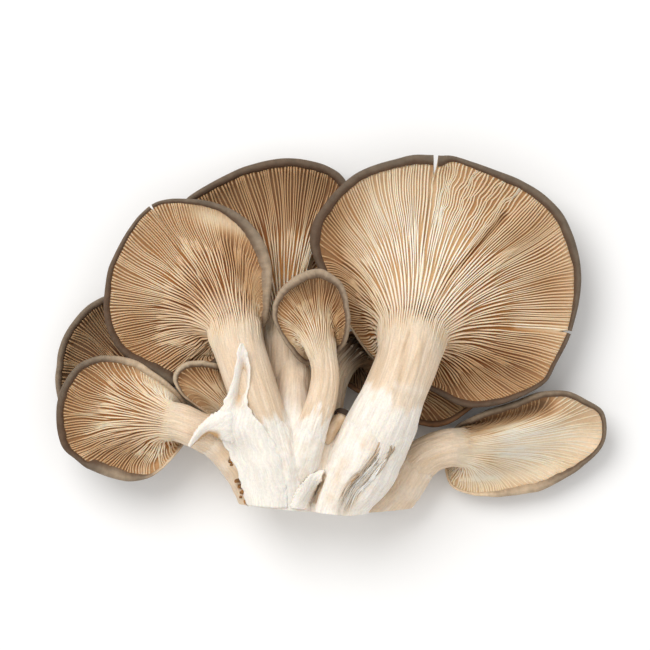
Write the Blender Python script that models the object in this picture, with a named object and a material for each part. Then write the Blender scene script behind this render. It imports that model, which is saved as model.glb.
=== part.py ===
"""An oyster mushroom cluster, lying on the tops of its caps with the gills up.

Ten mushrooms grow from one white butt, which was cut from its block at the -Y end. Each mushroom is
one solid: a tapered stem that spreads into ribbed gills, a rolled margin, and the domed cap behind
them. The stems stand in sockets of the butt. Lengths below are in millimetres, and +Z points away
from the surface that the cluster lies on.
"""

import math

import bmesh
import bpy
import numpy as np

MM = 0.001
UP = np.array([0.0, 0.0, 1.0])

GILL_RELIEF = 0.9  # how far a rib stands out of the mean gill surface, and a furrow sinks into it
RELIEF_SHARE = 0.3  # the relief is never more than this share of a column's width
MARGIN_SLOPE = math.radians(26)  # how steeply the gills climb to the rolled margin
TRUMPET = math.radians(20)  # how far the gills turn outwards as they leave the stem
SKIN_DOME = 2.0  # exponent of the cap's dome: 1 is a cone, 2 a bowl
GILL_STEPS = (0.07, 0.18, 0.32, 0.48, 0.65, 0.82, 0.94)
SKIN_STEPS = (0.1, 0.28, 0.5, 0.78)
STEM_STEPS = 6
SOCKET_GAP = 0.45
COLLAR = 2.2  # how far the margin stands off the back of the stem, where it closes round it
WALL = 1.5  # the least flesh between the gills and the skin behind them

# Each look is a colour (linear red, green, blue) and a roughness.
GILLS_AND_STEM = ((0.72, 0.55, 0.36), 0.7)
CAP_SKIN = ((0.2, 0.155, 0.115), 0.6)
MYCELIUM = ((0.84, 0.79, 0.7), 0.85)

CUT_Y = -66.8  # the lowest point of the hand-cut face at the foot of the butt
CUT_LEFT_Y = -63.2
VOXEL = 1.7
BUTT_FACES = 1500

# Each stem from its foot in the butt to where its gills begin: x, y, z, radius.
STEMS = {
    "right_large": [
        (14.8, -40, 29, 13.2),
        (19, -30, 32.5, 12.6),
        (22.6, -21, 33.5, 11.9),
        (26, -12, 32.5, 11.0),
        (28.9, -4.4, 27.5, 10.4),
        (30.6, 0.4, 20, 10.4),
    ],
    "left_large": [
        (-23, -38.7, 32, 8.6),
        (-25.8, -30, 34, 8.9),
        (-28.6, -21, 34.5, 9.0),
        (-31.3, -12.5, 33.5, 9.2),
        (-33.9, -4, 30.5, 9.5),
        (-35.6, 3.4, 25.5, 9.5),
    ],
    "back": [
        (-14.5, -36, 15, 8.0),
        (-15.5, -28, 16.5, 8.2),
        (-16.3, -19, 17, 8.3),
        (-16.8, -10, 16.5, 8.3),
        (-16.9, -2, 15, 8.5),
        (-16.9, 5, 12.5, 9.0),
    ],
    "front_small": [
        (-8.4, -38, 33.5, 5.8),
        (-6.2, -31, 34.4, 5.6),
        (-3.8, -24, 34.5, 5.4),
        (-2.5, -16, 35, 5.1),
        (-3.0, -9, 34.5, 5.0),
        (-4.6, -2.6, 32.5, 5.4),
    ],
    "left_low": [
        (-41, -38.6, 27.6, 7.4),
        (-45, -36.6, 28.2, 7.2),
        (-49, -34.8, 28.6, 7.0),
        (-53, -33.2, 28.6, 7.0),
        (-57, -31.9, 27.8, 7.0),
        (-60.5, -31, 26.2, 7.0),
    ],
    "left_back": [
        (-44, -34.5, 8.4, 5.0),
        (-48, -32.6, 8.4, 5.0),
        (-52.4, -30.2, 8.4, 5.0),
        (-57, -27.6, 8.6, 5.0),
        (-61.4, -25, 9, 5.0),
        (-65.3, -22.6, 9.4, 5.0),
    ],
    "left_tiny": [
        (-33.6, -34.6, 18, 3.7),
        (-34.7, -31.6, 18.8, 3.7),
        (-36.4, -28.8, 19.8, 3.8),
        (-38.8, -26.4, 20.6, 4.0),
    ],
    "right_low": [
        (30, -49.4, 12.5, 7.6),
        (32.8, -46.4, 13.6, 7.4),
        (36.4, -44, 14.4, 7.2),
        (40.4, -42.4, 14.4, 7.1),
        (44.6, -41.6, 13.6, 7.1),
        (48.8, -41.4, 12.2, 7.2),
    ],
    "hidden": [
        (-2, -35, 14.5, 4.6),
        (1.4, -28.6, 14.5, 4.5),
        (3.2, -22, 14.3, 4.4),
        (4, -15.6, 13.4, 4.4),
        (7, -10.6, 11.6, 4.5),
        (12.8, -9.2, 9.4, 4.8),
    ],
}
PIN_FOOT = (-0.4, -36, 24.6)
PIN_TOP = (3.2, -28.6, 24.8)
PIN_RADIUS = 2.1


def clear_scene():
    for obj in list(bpy.data.objects):
        bpy.data.objects.remove(obj)


def material(name, look):
    colour, roughness = look
    made = bpy.data.materials.new(name)
    made.use_nodes = True
    shader = made.node_tree.nodes["Principled BSDF"]
    shader.inputs["Base Color"].default_value = (*colour, 1.0)
    shader.inputs["Roughness"].default_value = roughness
    shader.inputs["Metallic"].default_value = 0.0
    made.diffuse_color = (*colour, 1.0)
    return made


def curve_through(points, count, closed):
    """Evenly spaced points on a smooth curve through the given ones."""
    knots = np.array(points, float)
    if closed:
        ring = np.vstack([knots[-1], knots, knots[0], knots[1]])
    else:
        ring = np.vstack([2 * knots[0] - knots[1], knots, 2 * knots[-1] - knots[-2]])
    dense = []
    for a, b, c, d in zip(ring, ring[1:], ring[2:], ring[3:]):
        for t in np.linspace(0, 1, 16, endpoint=False):
            bend = (2 * a - 5 * b + 4 * c - d) * t**2
            twist = (3 * b - a - 3 * c + d) * t**3
            dense.append(0.5 * (2 * b + (c - a) * t + bend + twist))
    dense.append(ring[-2])
    dense = np.array(dense)
    run = np.concatenate([[0], np.cumsum(np.linalg.norm(np.diff(dense[:, :3], axis=0), axis=1))])
    wanted = np.linspace(0, run[-1], count, endpoint=not closed)
    return np.column_stack([np.interp(wanted, run, column) for column in dense.T])


def unit(vectors):
    return vectors / np.linalg.norm(vectors, axis=-1, keepdims=True)


def smooth_step(low, high, value):
    share = np.clip((value - low) / (high - low), 0, 1)
    return share * share * (3 - 2 * share)


def stem_axes(direction):
    """The stem's direction, its side (to the right) and its front (towards +Z)."""
    along = unit(direction)
    side = unit(np.cross(along, UP))
    return along, side, np.cross(side, along)


def stem_rings(stations, angles, steps, wider=0.0):
    """Rings of points round a stem, from its foot to where the gills begin."""
    path = curve_through(stations, steps, closed=False)
    directions = np.gradient(path[:, :3], axis=0)
    rings = []
    for (x, y, z, radius), direction in zip(path, directions):
        _, side, front = stem_axes(direction)
        spokes = np.outer(np.cos(angles), side) + np.outer(np.sin(angles), front)
        rings.append(np.array([x, y, z]) + (radius + wider) * spokes)
    return rings


class Shell:
    """Rings of points joined into one closed mesh."""

    def __init__(self):
        self.points = []
        self.faces = []
        self.skin_faces = set()

    def ring(self, points):
        first = len(self.points)
        self.points.extend(points)
        return list(range(first, len(self.points)))

    def face(self, corners, skin=False):
        if skin:
            self.skin_faces.add(len(self.faces))
        self.faces.append(tuple(corners))

    def bridge(self, low, high, skin=False):
        """Joins two rings of the same count, or of which one has every second point of the other."""
        if len(low) == len(high):
            for i in range(len(low)):
                k = (i + 1) % len(low)
                self.face((low[i], high[i], high[k], low[k]), skin)
            return
        coarse, fine = (low, high) if len(low) < len(high) else (high, low)
        for i in range(len(coarse)):
            k = (i + 1) % len(coarse)
            a, b, c = fine[2 * i], fine[2 * i + 1], fine[(2 * i + 2) % len(fine)]
            for corners in ((coarse[i], a, b), (coarse[i], b, coarse[k]), (coarse[k], b, c)):
                self.face(corners if coarse is low else corners[::-1], skin)

    def close(self, ring, point, at_foot=False, skin=False):
        pole = self.ring([point])[0]
        for i in range(len(ring)):
            k = (i + 1) % len(ring)
            self.face((ring[k], pole, ring[i]) if at_foot else (ring[i], pole, ring[k]), skin)

    def object(self, name, looks):
        mesh = bpy.data.meshes.new(name)
        mesh.from_pydata([tuple(p * MM for p in point) for point in self.points], [], self.faces)
        for part, look in looks.items():
            mesh.materials.append(material(f"{name}_{part}", look))
        for polygon in mesh.polygons:
            polygon.material_index = 1 if polygon.index in self.skin_faces else 0
        mesh.shade_smooth()
        made = bpy.data.objects.new(name, mesh)
        bpy.context.scene.collection.objects.link(made)
        return made


def mushroom(
    name, stem, rim, crown, lip, columns, press=0, relief=GILL_RELIEF, collar=True, straight=0.35
):
    """One mushroom.

    stem: (x, y, z, radius) from the foot to where the gills begin.
    rim: (x, y, z) round the margin, counter-clockwise seen from +Z.
    crown: the point of the cap furthest behind the gills.
    lip: width of the rolled margin.
    columns: points round it, two for each gill.
    press: how far the crown is flattened by what it lies on.
    collar: whether the margin closes round the back of the stem as a narrow collar.
    straight: how squarely the gills meet the margin; less suits a long narrow cap.
    """
    apex = np.array(stem[-1][:3], float)
    radius = stem[-1][3]
    path = curve_through(stem, STEM_STEPS, closed=False)[:, :3]
    along, side, front = stem_axes(np.gradient(path, axis=0)[-1])
    heading = np.cross(UP, side)

    edge = curve_through(rim, columns, closed=True)
    bearing = np.arctan2((edge - apex) @ heading, (edge - apex) @ side)
    behind = int(np.argmin(np.abs(np.angle(np.exp(1j * (bearing + math.pi / 2))))))
    edge = np.roll(edge, -behind, axis=0)
    bearing = np.roll(bearing, -behind)
    spokes = np.outer(np.cos(bearing), side) + np.outer(np.sin(bearing), front)
    free = np.ones((columns, 1))
    if collar:
        distance = np.linalg.norm(edge - apex, axis=1) / radius
        ahead = smooth_step(-0.5, 0.0, np.sin(bearing))
        free = np.maximum(smooth_step(1.2, 1.9, distance), ahead)[:, None]
        edge = free * edge + (1 - free) * (apex + (radius + COLLAR) * spokes - 1.0 * along)
        for _ in range(8):
            middle = (np.roll(edge, -1, axis=0) + np.roll(edge, 1, axis=0)) / 2
            edge += 0.5 * (1 - free) * (middle - edge)
    start = apex + radius * spokes
    lip = np.minimum(lip, 0.5 * np.linalg.norm(edge - start, axis=1)[:, None])
    run = np.roll(edge, -1, axis=0) - np.roll(edge, 1, axis=0)
    out = unit(np.cross(run, UP))
    crease = edge - lip * out - 0.25 * lip * UP
    reach = np.linalg.norm(crease - start, axis=1)[:, None]
    forward = ((1 + np.sin(bearing)) / 2)[:, None]
    chord = (crease - start) / reach
    long = smooth_step(2, 9, reach)
    flare = math.cos(TRUMPET) * along + math.sin(TRUMPET) * spokes
    climb = math.cos(MARGIN_SLOPE) * out + math.sin(MARGIN_SLOPE) * UP
    leave = start + reach * (0.15 * chord + 0.3 * long * forward * flare)
    arrive = crease - reach * (0.25 * (1 - long) * chord + straight * long * climb)

    gills = []
    for t in GILL_STEPS:
        first_half = (1 - t) ** 3 * start + 3 * (1 - t) ** 2 * t * leave
        gills.append(first_half + 3 * (1 - t) * t**2 * arrive + t**3 * crease)
    surface = np.array([start, *gills, crease])
    down = np.gradient(surface, axis=0)
    across = np.roll(surface, -1, axis=1) - np.roll(surface, 1, axis=1)
    normal = unit(np.cross(down, across))
    width = np.linalg.norm(across, axis=2) / 2
    sign = np.where(np.arange(columns) % 2 == 1, 1.0, -1.0)
    gilled = smooth_step(3, 10, reach[:, 0])
    for i, t in enumerate(GILL_STEPS, start=1):
        swell = smooth_step(0, 0.3, t) * (1 - 0.5 * smooth_step(0.85, 1.0, t))
        height = sign * gilled * np.minimum(relief, RELIEF_SHARE * width[i]) * swell
        surface[i] += height[:, None] * normal[i]

    shell = Shell()
    half = bearing[::2]
    foot = stem_rings(stem, half, STEM_STEPS)
    rings = [shell.ring(points) for points in foot]
    shell.close(rings[0], np.mean(foot[0], axis=0), at_foot=True)
    for low, high in zip(rings, rings[1:]):
        shell.bridge(low, high)
    last = rings[-1]
    for points in surface[1:]:
        this = shell.ring(points)
        shell.bridge(last, this)
        last = this

    # The rolled margin: up from the crease, over the lip, and down its outer side.
    for inward, rise in ((0.8, 0.25), (0.35, 0.42)):
        this = shell.ring(edge - inward * lip * out + rise * lip * UP)
        shell.bridge(last, this, skin=True)
        last = this
    outer = edge[::2]
    this = shell.ring(outer)
    shell.bridge(last, this, skin=True)
    last = this
    bed = crown[2] - press
    under = outer - 0.12 * lip[::2] * out[::2] - 0.55 * lip[::2] * UP
    this = shell.ring(under)
    shell.bridge(last, this, skin=True)
    last = this
    gill_points = surface.reshape(-1, 3)
    for u in SKIN_STEPS:
        points = under + u * (np.array(crown) - under)
        points[:, 2] = np.maximum(crown[2], bed + (under[:, 2] - bed) * (1 - u) ** SKIN_DOME)
        apart = np.linalg.norm(points[:, None, :2] - gill_points[None, :, :2], axis=2)
        roof = np.where(apart < 3.5, gill_points[:, 2], np.inf).min(axis=1)
        points[:, 2] = np.maximum(min(crown[2], 0.0), np.minimum(points[:, 2], roof - WALL))
        this = shell.ring(points)
        shell.bridge(last, this, skin=True)
        last = this
    shell.close(last, np.array(crown, float), skin=True)
    return shell.object(name, {"flesh": GILLS_AND_STEM, "skin": CAP_SKIN})


def right_large():
    """The largest: its cap spreads all round the end of a thick stem."""
    return mushroom(
        "mushroom_right_large",
        stem=STEMS["right_large"],
        rim=[
            (92.7, 21, 18),
            (89.6, 39, 19),
            (83.4, 48.3, 20),
            (72.3, 56.8, 20),
            (59, 62.4, 21),
            (45, 66.4, 21),
            (29, 66.6, 22),
            (9, 59.6, 24),
            (-5, 45.4, 26),
            (-8, 35, 27),
            (-5, 25, 26.5),
            (0.6, 13, 25),
            (7.2, 2, 23),
            (15.4, -9, 20),
            (25.3, -16, 18),
            (37.2, -20.6, 17.5),
            (50, -26.6, 17),
            (64, -25.2, 17),
            (78, -18.6, 17),
            (83, -11, 17),
            (89, 2, 17.5),
        ],
        crown=(40, 17, 0),
        lip=2.8,
        columns=88,
        press=1.2,
        collar=False,
    )


def left_large():
    """A fan that opens to the upper left, with a broad roll on its right margin."""
    return mushroom(
        "mushroom_left_large",
        stem=STEMS["left_large"],
        rim=[
            (-21.9, 18.7, 34),
            (-22.2, 27, 34.5),
            (-26.8, 37.9, 33),
            (-39.4, 47.7, 30),
            (-59.4, 50.4, 28),
            (-71, 44.5, 27),
            (-80.8, 28.3, 26),
            (-84, 14.6, 25),
            (-82.8, 2, 24),
            (-77.1, -7.2, 23),
            (-66, -12.6, 22),
            (-55, -14.4, 19.5),
            (-45, -12, 18),
            (-37, -7.6, 18.5),
            (-30, -4.2, 20.5),
            (-25, 0.6, 26),
            (-22.6, 9, 31),
        ],
        crown=(-52, 19, 13),
        lip=2.9,
        columns=72,
    )


def back():
    """The fan behind the two large ones."""
    return mushroom(
        "mushroom_back",
        stem=STEMS["back"],
        rim=[
            (1, 29, 10),
            (3.6, 40, 11),
            (4.6, 51, 12),
            (1, 60.4, 12.5),
            (-8, 64.4, 12.5),
            (-18.3, 65, 12.5),
            (-31, 62, 12.5),
            (-45.3, 55.2, 12),
            (-53.5, 49, 11),
            (-53.5, 39, 9.5),
            (-47, 28, 9),
            (-38, 17, 9),
            (-30.5, 6.5, 8),
            (-25, -1.6, 4.5),
            (-17, -4.6, 2.8),
            (-9.4, -2.4, 4.5),
            (-4, 5, 8),
            (-0.6, 16, 10),
        ],
        crown=(-22, 30, 0),
        lip=2.8,
        columns=56,
        press=0.9,
        collar=False,
    )


def front_small():
    """The spoon-shaped small one, in front of the others."""
    return mushroom(
        "mushroom_front_small",
        stem=STEMS["front_small"],
        rim=[
            (6.8, 5.4, 40),
            (5.8, 13.4, 40),
            (3.1, 20.1, 39.5),
            (-3.6, 24.2, 39),
            (-10.9, 22.9, 38.5),
            (-17, 18.9, 38),
            (-21, 12.8, 38),
            (-21.4, 6.5, 37.5),
            (-18.9, 0.6, 36),
            (-14.6, -6.2, 33.5),
            (-10.4, -10.4, 29.5),
            (-4, -11, 26.4),
            (1.8, -8.2, 29),
            (5.4, -2.6, 36.5),
        ],
        crown=(-7.2, 8.7, 24),
        lip=2.7,
        columns=40,
        relief=0.6,
    )


def left_low():
    """The fan at the lower left, on a stem that leaves the butt sideways."""
    return mushroom(
        "mushroom_left_low",
        stem=STEMS["left_low"],
        rim=[
            (-50.5, -33, 18.6),
            (-52.6, -26.5, 20.6),
            (-58, -20.2, 26.7),
            (-65.4, -14.4, 27.7),
            (-73.6, -9.2, 27.7),
            (-84.5, -7.2, 27.2),
            (-93.8, -11.2, 26.7),
            (-100, -20.9, 26.2),
            (-102.1, -31, 25.7),
            (-100, -40, 25.2),
            (-94, -46.6, 24.2),
            (-85, -51.2, 23.2),
            (-74.6, -53.8, 22.2),
            (-65, -52, 22.2),
            (-58, -44.6, 21.7),
            (-53.4, -38.6, 19),
        ],
        crown=(-80, -29, 14.5),
        lip=2.8,
        columns=56,
        collar=False,
    )


def left_back():
    """The one behind at the far left, mostly under the two fans in front of it."""
    return mushroom(
        "mushroom_left_back",
        stem=STEMS["left_back"],
        rim=[
            (-68, -4, 10),
            (-72, 5.6, 10.5),
            (-78, 12.2, 11.5),
            (-84.5, 14.4, 12.5),
            (-93.8, 8, 13),
            (-100.5, -2.8, 13),
            (-103.3, -14.6, 12.5),
            (-101.8, -25.2, 11),
            (-97, -33, 9),
            (-86, -36.8, 7.5),
            (-75, -35.8, 6.5),
            (-66, -33.2, 4.4),
            (-60.6, -29.4, 2.4),
            (-58.8, -23.6, 1.9),
            (-60, -17, 4.5),
            (-62.6, -10.4, 7.4),
        ],
        crown=(-82, -12, 0),
        lip=2.6,
        columns=36,
        press=0.8,
        relief=0.6,
        collar=False,
    )


def left_tiny():
    """The tiny fan that fills the gap between the fans on the left."""
    return mushroom(
        "mushroom_left_tiny",
        stem=STEMS["left_tiny"],
        rim=[
            (-33.4, -19, 17.6),
            (-37.4, -13, 20),
            (-44, -9.8, 26),
            (-51.8, -9.2, 28.5),
            (-56.6, -12, 29),
            (-58.2, -16.6, 28.6),
            (-55.4, -21.6, 27.4),
            (-50.6, -25.6, 25.4),
            (-44.4, -29.8, 21),
            (-39.6, -31.4, 16),
            (-35.6, -29.4, 13.8),
            (-32.6, -24.8, 14.6),
        ],
        crown=(-46.4, -19, 18.6),
        lip=2.2,
        columns=28,
        relief=0.5,
        collar=False,
    )


def right_low():
    """The one at the lower right: its stem curves out of the butt and its cap lies along the surface."""
    return mushroom(
        "mushroom_right_low",
        stem=STEMS["right_low"],
        rim=[
            (103.4, -35, 12.5),
            (100.6, -28, 14),
            (93, -22.9, 15.5),
            (85.3, -20.4, 16),
            (77.1, -21, 15),
            (69.7, -23.8, 13),
            (60.5, -26.8, 12.5),
            (52, -30.4, 12),
            (46.6, -33.4, 8.5),
            (43.6, -38, 4.4),
            (42.8, -43.6, 3.4),
            (42.4, -50, 5.6),
            (44.8, -56.4, 9),
            (53.1, -59.4, 9.5),
            (66, -59.6, 9),
            (79, -57.2, 9),
            (91.9, -49.8, 10),
            (100.4, -42, 11),
        ],
        crown=(72, -41, 0),
        lip=2.2,
        columns=44,
        press=1.0,
        relief=0.5,
        collar=False,
    )


def hidden():
    """The one behind the thick stem; its cap shows on both sides of that stem."""
    return mushroom(
        "mushroom_hidden",
        stem=STEMS["hidden"],
        rim=[
            (55, -24, 8.5),
            (52.6, -18.2, 6.6),
            (44, -12.4, 5.6),
            (32, -7.4, 5.4),
            (21, -2.4, 5.8),
            (13.4, -1.2, 6.4),
            (7.4, -4.4, 5),
            (6.6, -10, 4),
            (7.6, -14.4, 6.4),
            (7.6, -18.2, 8),
            (11.4, -22.2, 9.5),
            (19, -26.4, 10),
            (26.6, -30.6, 10),
            (34, -33.6, 10),
            (41.4, -33.6, 10),
            (49.4, -29.4, 9.4),
        ],
        crown=(29, -18.6, 0),
        lip=2.0,
        columns=32,
        press=0.7,
        relief=0.5,
        straight=0.12,
    )


def pin():
    """The pinhead: a short stem under a small dark button, leaning on the thick stem."""
    foot = np.array(PIN_FOOT)
    top = np.array(PIN_TOP)
    along, side, front = stem_axes(top - foot)
    length = np.linalg.norm(top - foot)
    profile = [(1, 0), (0.95, 0.4), (0.88, 0.72)]
    cap_from = len(profile)
    profile += [(1.2, 0.75), (1.42, 0.82), (1.34, 0.98), (0.9, 1.14), (0.4, 1.2)]
    angles = np.linspace(0, 2 * math.pi, 12, endpoint=False)
    spokes = np.outer(np.cos(angles), side) + np.outer(np.sin(angles), front)
    shell = Shell()
    last = None
    for i, (radius, share) in enumerate(profile):
        points = foot + share * length * along + radius * PIN_RADIUS * spokes
        this = shell.ring(points)
        if last:
            shell.bridge(last, this, skin=i >= cap_from)
        else:
            shell.close(this, foot, at_foot=True)
        last = this
    shell.close(last, foot + 1.22 * length * along, skin=True)
    return shell.object("mushroom_pin", {"flesh": GILLS_AND_STEM, "skin": CAP_SKIN})


def tube(stations, wider=0.0, deeper=0.0, sides=14, steps=10):
    """A closed tapered tube with flat ends."""
    angles = np.linspace(0, 2 * math.pi, sides, endpoint=False)
    rings = stem_rings(stations, angles, steps, wider)
    rings[0] += deeper * unit(np.mean(rings[0] - rings[1], axis=0))
    shell = Shell()
    last = None
    for points in rings:
        this = shell.ring(points)
        if last:
            shell.bridge(last, this)
        else:
            shell.close(this, np.mean(points, axis=0), at_foot=True)
        last = this
    shell.close(last, np.mean(rings[-1], axis=0))
    return shell


def butt():
    """The common foot: the stems' lower ends grown together, with a torn flap, cut off flat."""
    lobes = [
        [(15.4, -38.6, 29.5, 12.4), (12.6, -45, 28, 14.6), (8, -56, 26, 15.5), (5, -70, 23, 16)],
        [(-23.5, -37.4, 32.2, 8), (-20.4, -45, 30.5, 10.6), (-17, -56, 26, 12), (-14, -70, 22, 13)],
        [(-8, -36.8, 33.7, 5), (-8.8, -44, 31, 8), (-8, -54, 27, 11), (-5, -70, 22, 12)],
        [(-14.8, -34.6, 15, 7.2), (-14, -43, 15, 10), (-11, -56, 14, 11), (-8, -70, 14, 11)],
        [(-42, -38, 26.6, 6.6), (-36, -43, 26, 8.4), (-30, -50, 24, 9.2), (-22, -66, 20.5, 9.2)],
        [(-45, -34, 8.6, 4.6), (-36, -40, 10, 7), (-24, -52, 12, 9), (-18, -70, 13, 9.4)],
        [(-33.8, -33.8, 18.2, 3.4), (-30.6, -42, 20, 6), (-24, -54, 20, 8)],
        [(31, -48.3, 12.9, 6.9), (26, -53, 12.4, 8.6), (18, -61, 12.4, 9.2), (12, -72, 12.4, 9.4)],
        [(-1.5, -34, 14.5, 4.1), (-0.6, -42, 14, 7), (2, -60, 13, 9.5), (2, -70, 13, 9.5)],
        [(-0.2, -35.6, 24.6, 1.7), (-0.8, -42, 25, 4.4), (0, -50, 24, 6)],
        [(-26, -50, 6.6, 9), (-6, -52, 6.4, 10), (14, -55, 6.8, 9.6)],
        [(-26, -61, 6.8, 8.6), (-6, -62, 6.4, 9.6), (14, -62, 6.8, 9.4)],
    ]
    # The flap is torn white skin that stands over the left fan's stem; its branch crosses the low
    # fan's stem.
    lobes += [
        [(-22, -52, 33, 6.4), (-29, -41, 38, 4.6), (-33.2, -31, 43.4, 2.9), (-34.5, -20, 45.2, 2.4)],
        [(-33.2, -31, 43.4, 2.9), (-34.5, -20, 45.2, 2.4), (-34, -8, 43.8, 1.8)],
        [(-27, -45, 35, 5.2), (-34, -37, 38, 4), (-42, -34, 37.4, 3), (-49, -38, 37.2, 2.2)],
        [(-42, -34, 37.4, 3), (-49, -38, 37.2, 2.2), (-53, -41, 35.6, 1.6)],
    ]
    clay = bmesh.new()
    for lobe in lobes:
        shell = tube(lobe)
        points = [clay.verts.new(tuple(p * MM for p in point)) for point in shell.points]
        for face in shell.faces:
            clay.faces.new([points[i] for i in face])
    mesh = bpy.data.meshes.new("butt_rough")
    clay.to_mesh(mesh)
    clay.free()
    rough = bpy.data.objects.new("butt_rough", mesh)
    bpy.context.scene.collection.objects.link(rough)

    fuse = rough.modifiers.new("fuse", "REMESH")
    fuse.mode = "VOXEL"
    fuse.voxel_size = VOXEL * MM
    soften = rough.modifiers.new("soften", "SMOOTH")
    soften.factor = 0.5
    soften.iterations = 3
    evaluated = rough.evaluated_get(bpy.context.evaluated_depsgraph_get())
    fused = evaluated.to_mesh()
    count = sum(len(p.vertices) - 2 for p in fused.polygons)
    evaluated.to_mesh_clear()
    thin = rough.modifiers.new("thin", "DECIMATE")
    thin.ratio = BUTT_FACES / count
    thin.use_collapse_triangulate = True
    graph = bpy.context.evaluated_depsgraph_get()
    mesh = bpy.data.meshes.new_from_object(rough.evaluated_get(graph))
    bpy.data.objects.remove(rough)

    clay = bmesh.new()
    clay.from_mesh(mesh)
    left = np.array([-30.0, CUT_LEFT_Y])
    low = np.array([6.0, CUT_Y])
    right = np.array([30.0, -64.8])
    cuts = [((0, 0, 0), (0, 0, -1))]
    for a, b in ((left, low), (low, right)):
        run = b - a
        cuts.append(((a[0], a[1], 0), (run[1], -run[0], 0)))
    for point, normal in cuts:
        all_parts = clay.verts[:] + clay.edges[:] + clay.faces[:]
        cut = bmesh.ops.bisect_plane(
            clay,
            geom=all_parts,
            plane_co=[p * MM for p in point],
            plane_no=normal,
            clear_outer=True,
        )
        edges = [e for e in cut["geom_cut"] if isinstance(e, bmesh.types.BMEdge)]
        bmesh.ops.edgeloop_fill(clay, edges=edges)
    bmesh.ops.recalc_face_normals(clay, faces=clay.faces)
    bmesh.ops.triangulate(clay, faces=clay.faces)
    clay.to_mesh(mesh)
    clay.free()
    mesh.name = "butt"
    mesh.materials.clear()
    mesh.materials.append(material("butt_mycelium", MYCELIUM))
    mesh.shade_smooth()
    made = bpy.data.objects.new("butt", mesh)
    bpy.context.scene.collection.objects.link(made)
    return made


def cut_sockets(foot, stems):
    """Cuts each stem's socket, a little wider and deeper than the stem, out of the butt."""
    plugs = bpy.data.collections.new("sockets")
    bpy.context.scene.collection.children.link(plugs)
    for name, stations in stems.items():
        shell = tube(stations, wider=SOCKET_GAP, deeper=SOCKET_GAP, sides=24, steps=STEM_STEPS)
        plug = shell.object("socket_" + name, {"cutter": MYCELIUM})
        bpy.context.scene.collection.objects.unlink(plug)
        plugs.objects.link(plug)
    cut = foot.modifiers.new("sockets", "BOOLEAN")
    cut.operation = "DIFFERENCE"
    cut.operand_type = "COLLECTION"
    cut.collection = plugs
    graph = bpy.context.evaluated_depsgraph_get()
    whole = bmesh.new()
    whole.from_mesh(foot.evaluated_get(graph).data)
    foot.modifiers.clear()
    for plug in list(plugs.objects):
        bpy.data.objects.remove(plug)
    bpy.data.collections.remove(plugs)

    # The cut leaves crumbs where a socket grazes the surface: only the largest body is kept.
    bmesh.ops.remove_doubles(whole, verts=whole.verts, dist=0.01 * MM)
    bodies = []
    left = set(whole.faces)
    while left:
        edge = [left.pop()]
        body = set(edge)
        while edge:
            seams = {e for f in edge for e in f.edges if len(e.link_faces) == 2}
            near = {f for e in seams for f in e.link_faces} - body
            body |= near
            edge = list(near)
        left -= body
        bodies.append(body)
    bodies.sort(key=len)
    for body in bodies[:-1]:
        bmesh.ops.delete(whole, geom=list(body), context="FACES")
    bmesh.ops.triangulate(whole, faces=whole.faces)
    whole.to_mesh(foot.data)
    whole.free()


clear_scene()
right_large()
left_large()
back()
front_small()
left_low()
left_back()
left_tiny()
right_low()
hidden()
pin()
foot = butt()
sockets = dict(STEMS)
sockets["pin"] = [(*PIN_FOOT, PIN_RADIUS), (*PIN_TOP, PIN_RADIUS)]
cut_sockets(foot, sockets)
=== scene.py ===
import math
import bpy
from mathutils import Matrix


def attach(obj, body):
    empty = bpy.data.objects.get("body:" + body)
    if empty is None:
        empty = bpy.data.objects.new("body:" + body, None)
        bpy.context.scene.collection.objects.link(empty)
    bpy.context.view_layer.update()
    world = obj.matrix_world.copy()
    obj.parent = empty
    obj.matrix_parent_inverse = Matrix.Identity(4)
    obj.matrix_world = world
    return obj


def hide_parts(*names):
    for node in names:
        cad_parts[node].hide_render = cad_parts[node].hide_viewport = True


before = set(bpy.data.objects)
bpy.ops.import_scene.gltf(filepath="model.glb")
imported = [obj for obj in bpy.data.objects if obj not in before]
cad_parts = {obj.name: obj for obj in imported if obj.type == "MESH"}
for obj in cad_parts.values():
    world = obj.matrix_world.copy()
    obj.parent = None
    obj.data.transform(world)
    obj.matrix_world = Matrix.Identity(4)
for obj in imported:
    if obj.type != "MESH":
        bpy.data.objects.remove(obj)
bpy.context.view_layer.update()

from types import SimpleNamespace

import bmesh
import bpy
import numpy as np
from mathutils import Vector, noise

MM = 0.001
UP = np.array([0.0, 0.0, 1.0])
DAYLIGHT = (1.0, 0.99, 0.975)
LAMP_PLACE = (-0.5, 0.6, 1.1)


# The view and the light.
# The camera looks straight down from far off, so that the cluster keeps its true proportions. A broad soft
# lamp stands at the upper left, and the room is pale all round.
bpy.ops.object.camera_add(location=(-0.0024, 0.0039, 1.6))
camera = bpy.context.object
camera.name = "camera"
camera.data.sensor_width = 36
camera.data.lens = 236.5
camera.data.clip_end = 20
bpy.context.scene.camera = camera

bpy.ops.object.light_add(type="AREA", location=LAMP_PLACE)
lamp = bpy.context.object
lamp.name = "soft_lamp"
lamp.data.shape = "DISK"
lamp.data.size = 0.9
lamp.data.energy = 10.5
lamp.data.color = DAYLIGHT
lamp.rotation_euler = Vector(LAMP_PLACE).to_track_quat("Z", "Y").to_euler()

world = bpy.data.worlds.new("pale_room")
world.use_nodes = True
room = world.node_tree.nodes["Background"]
room.inputs["Color"].default_value = (*DAYLIGHT, 1.0)
room.inputs["Strength"].default_value = 0.78
bpy.context.scene.world = world
bpy.context.scene.view_settings.view_transform = "Standard"


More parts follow.
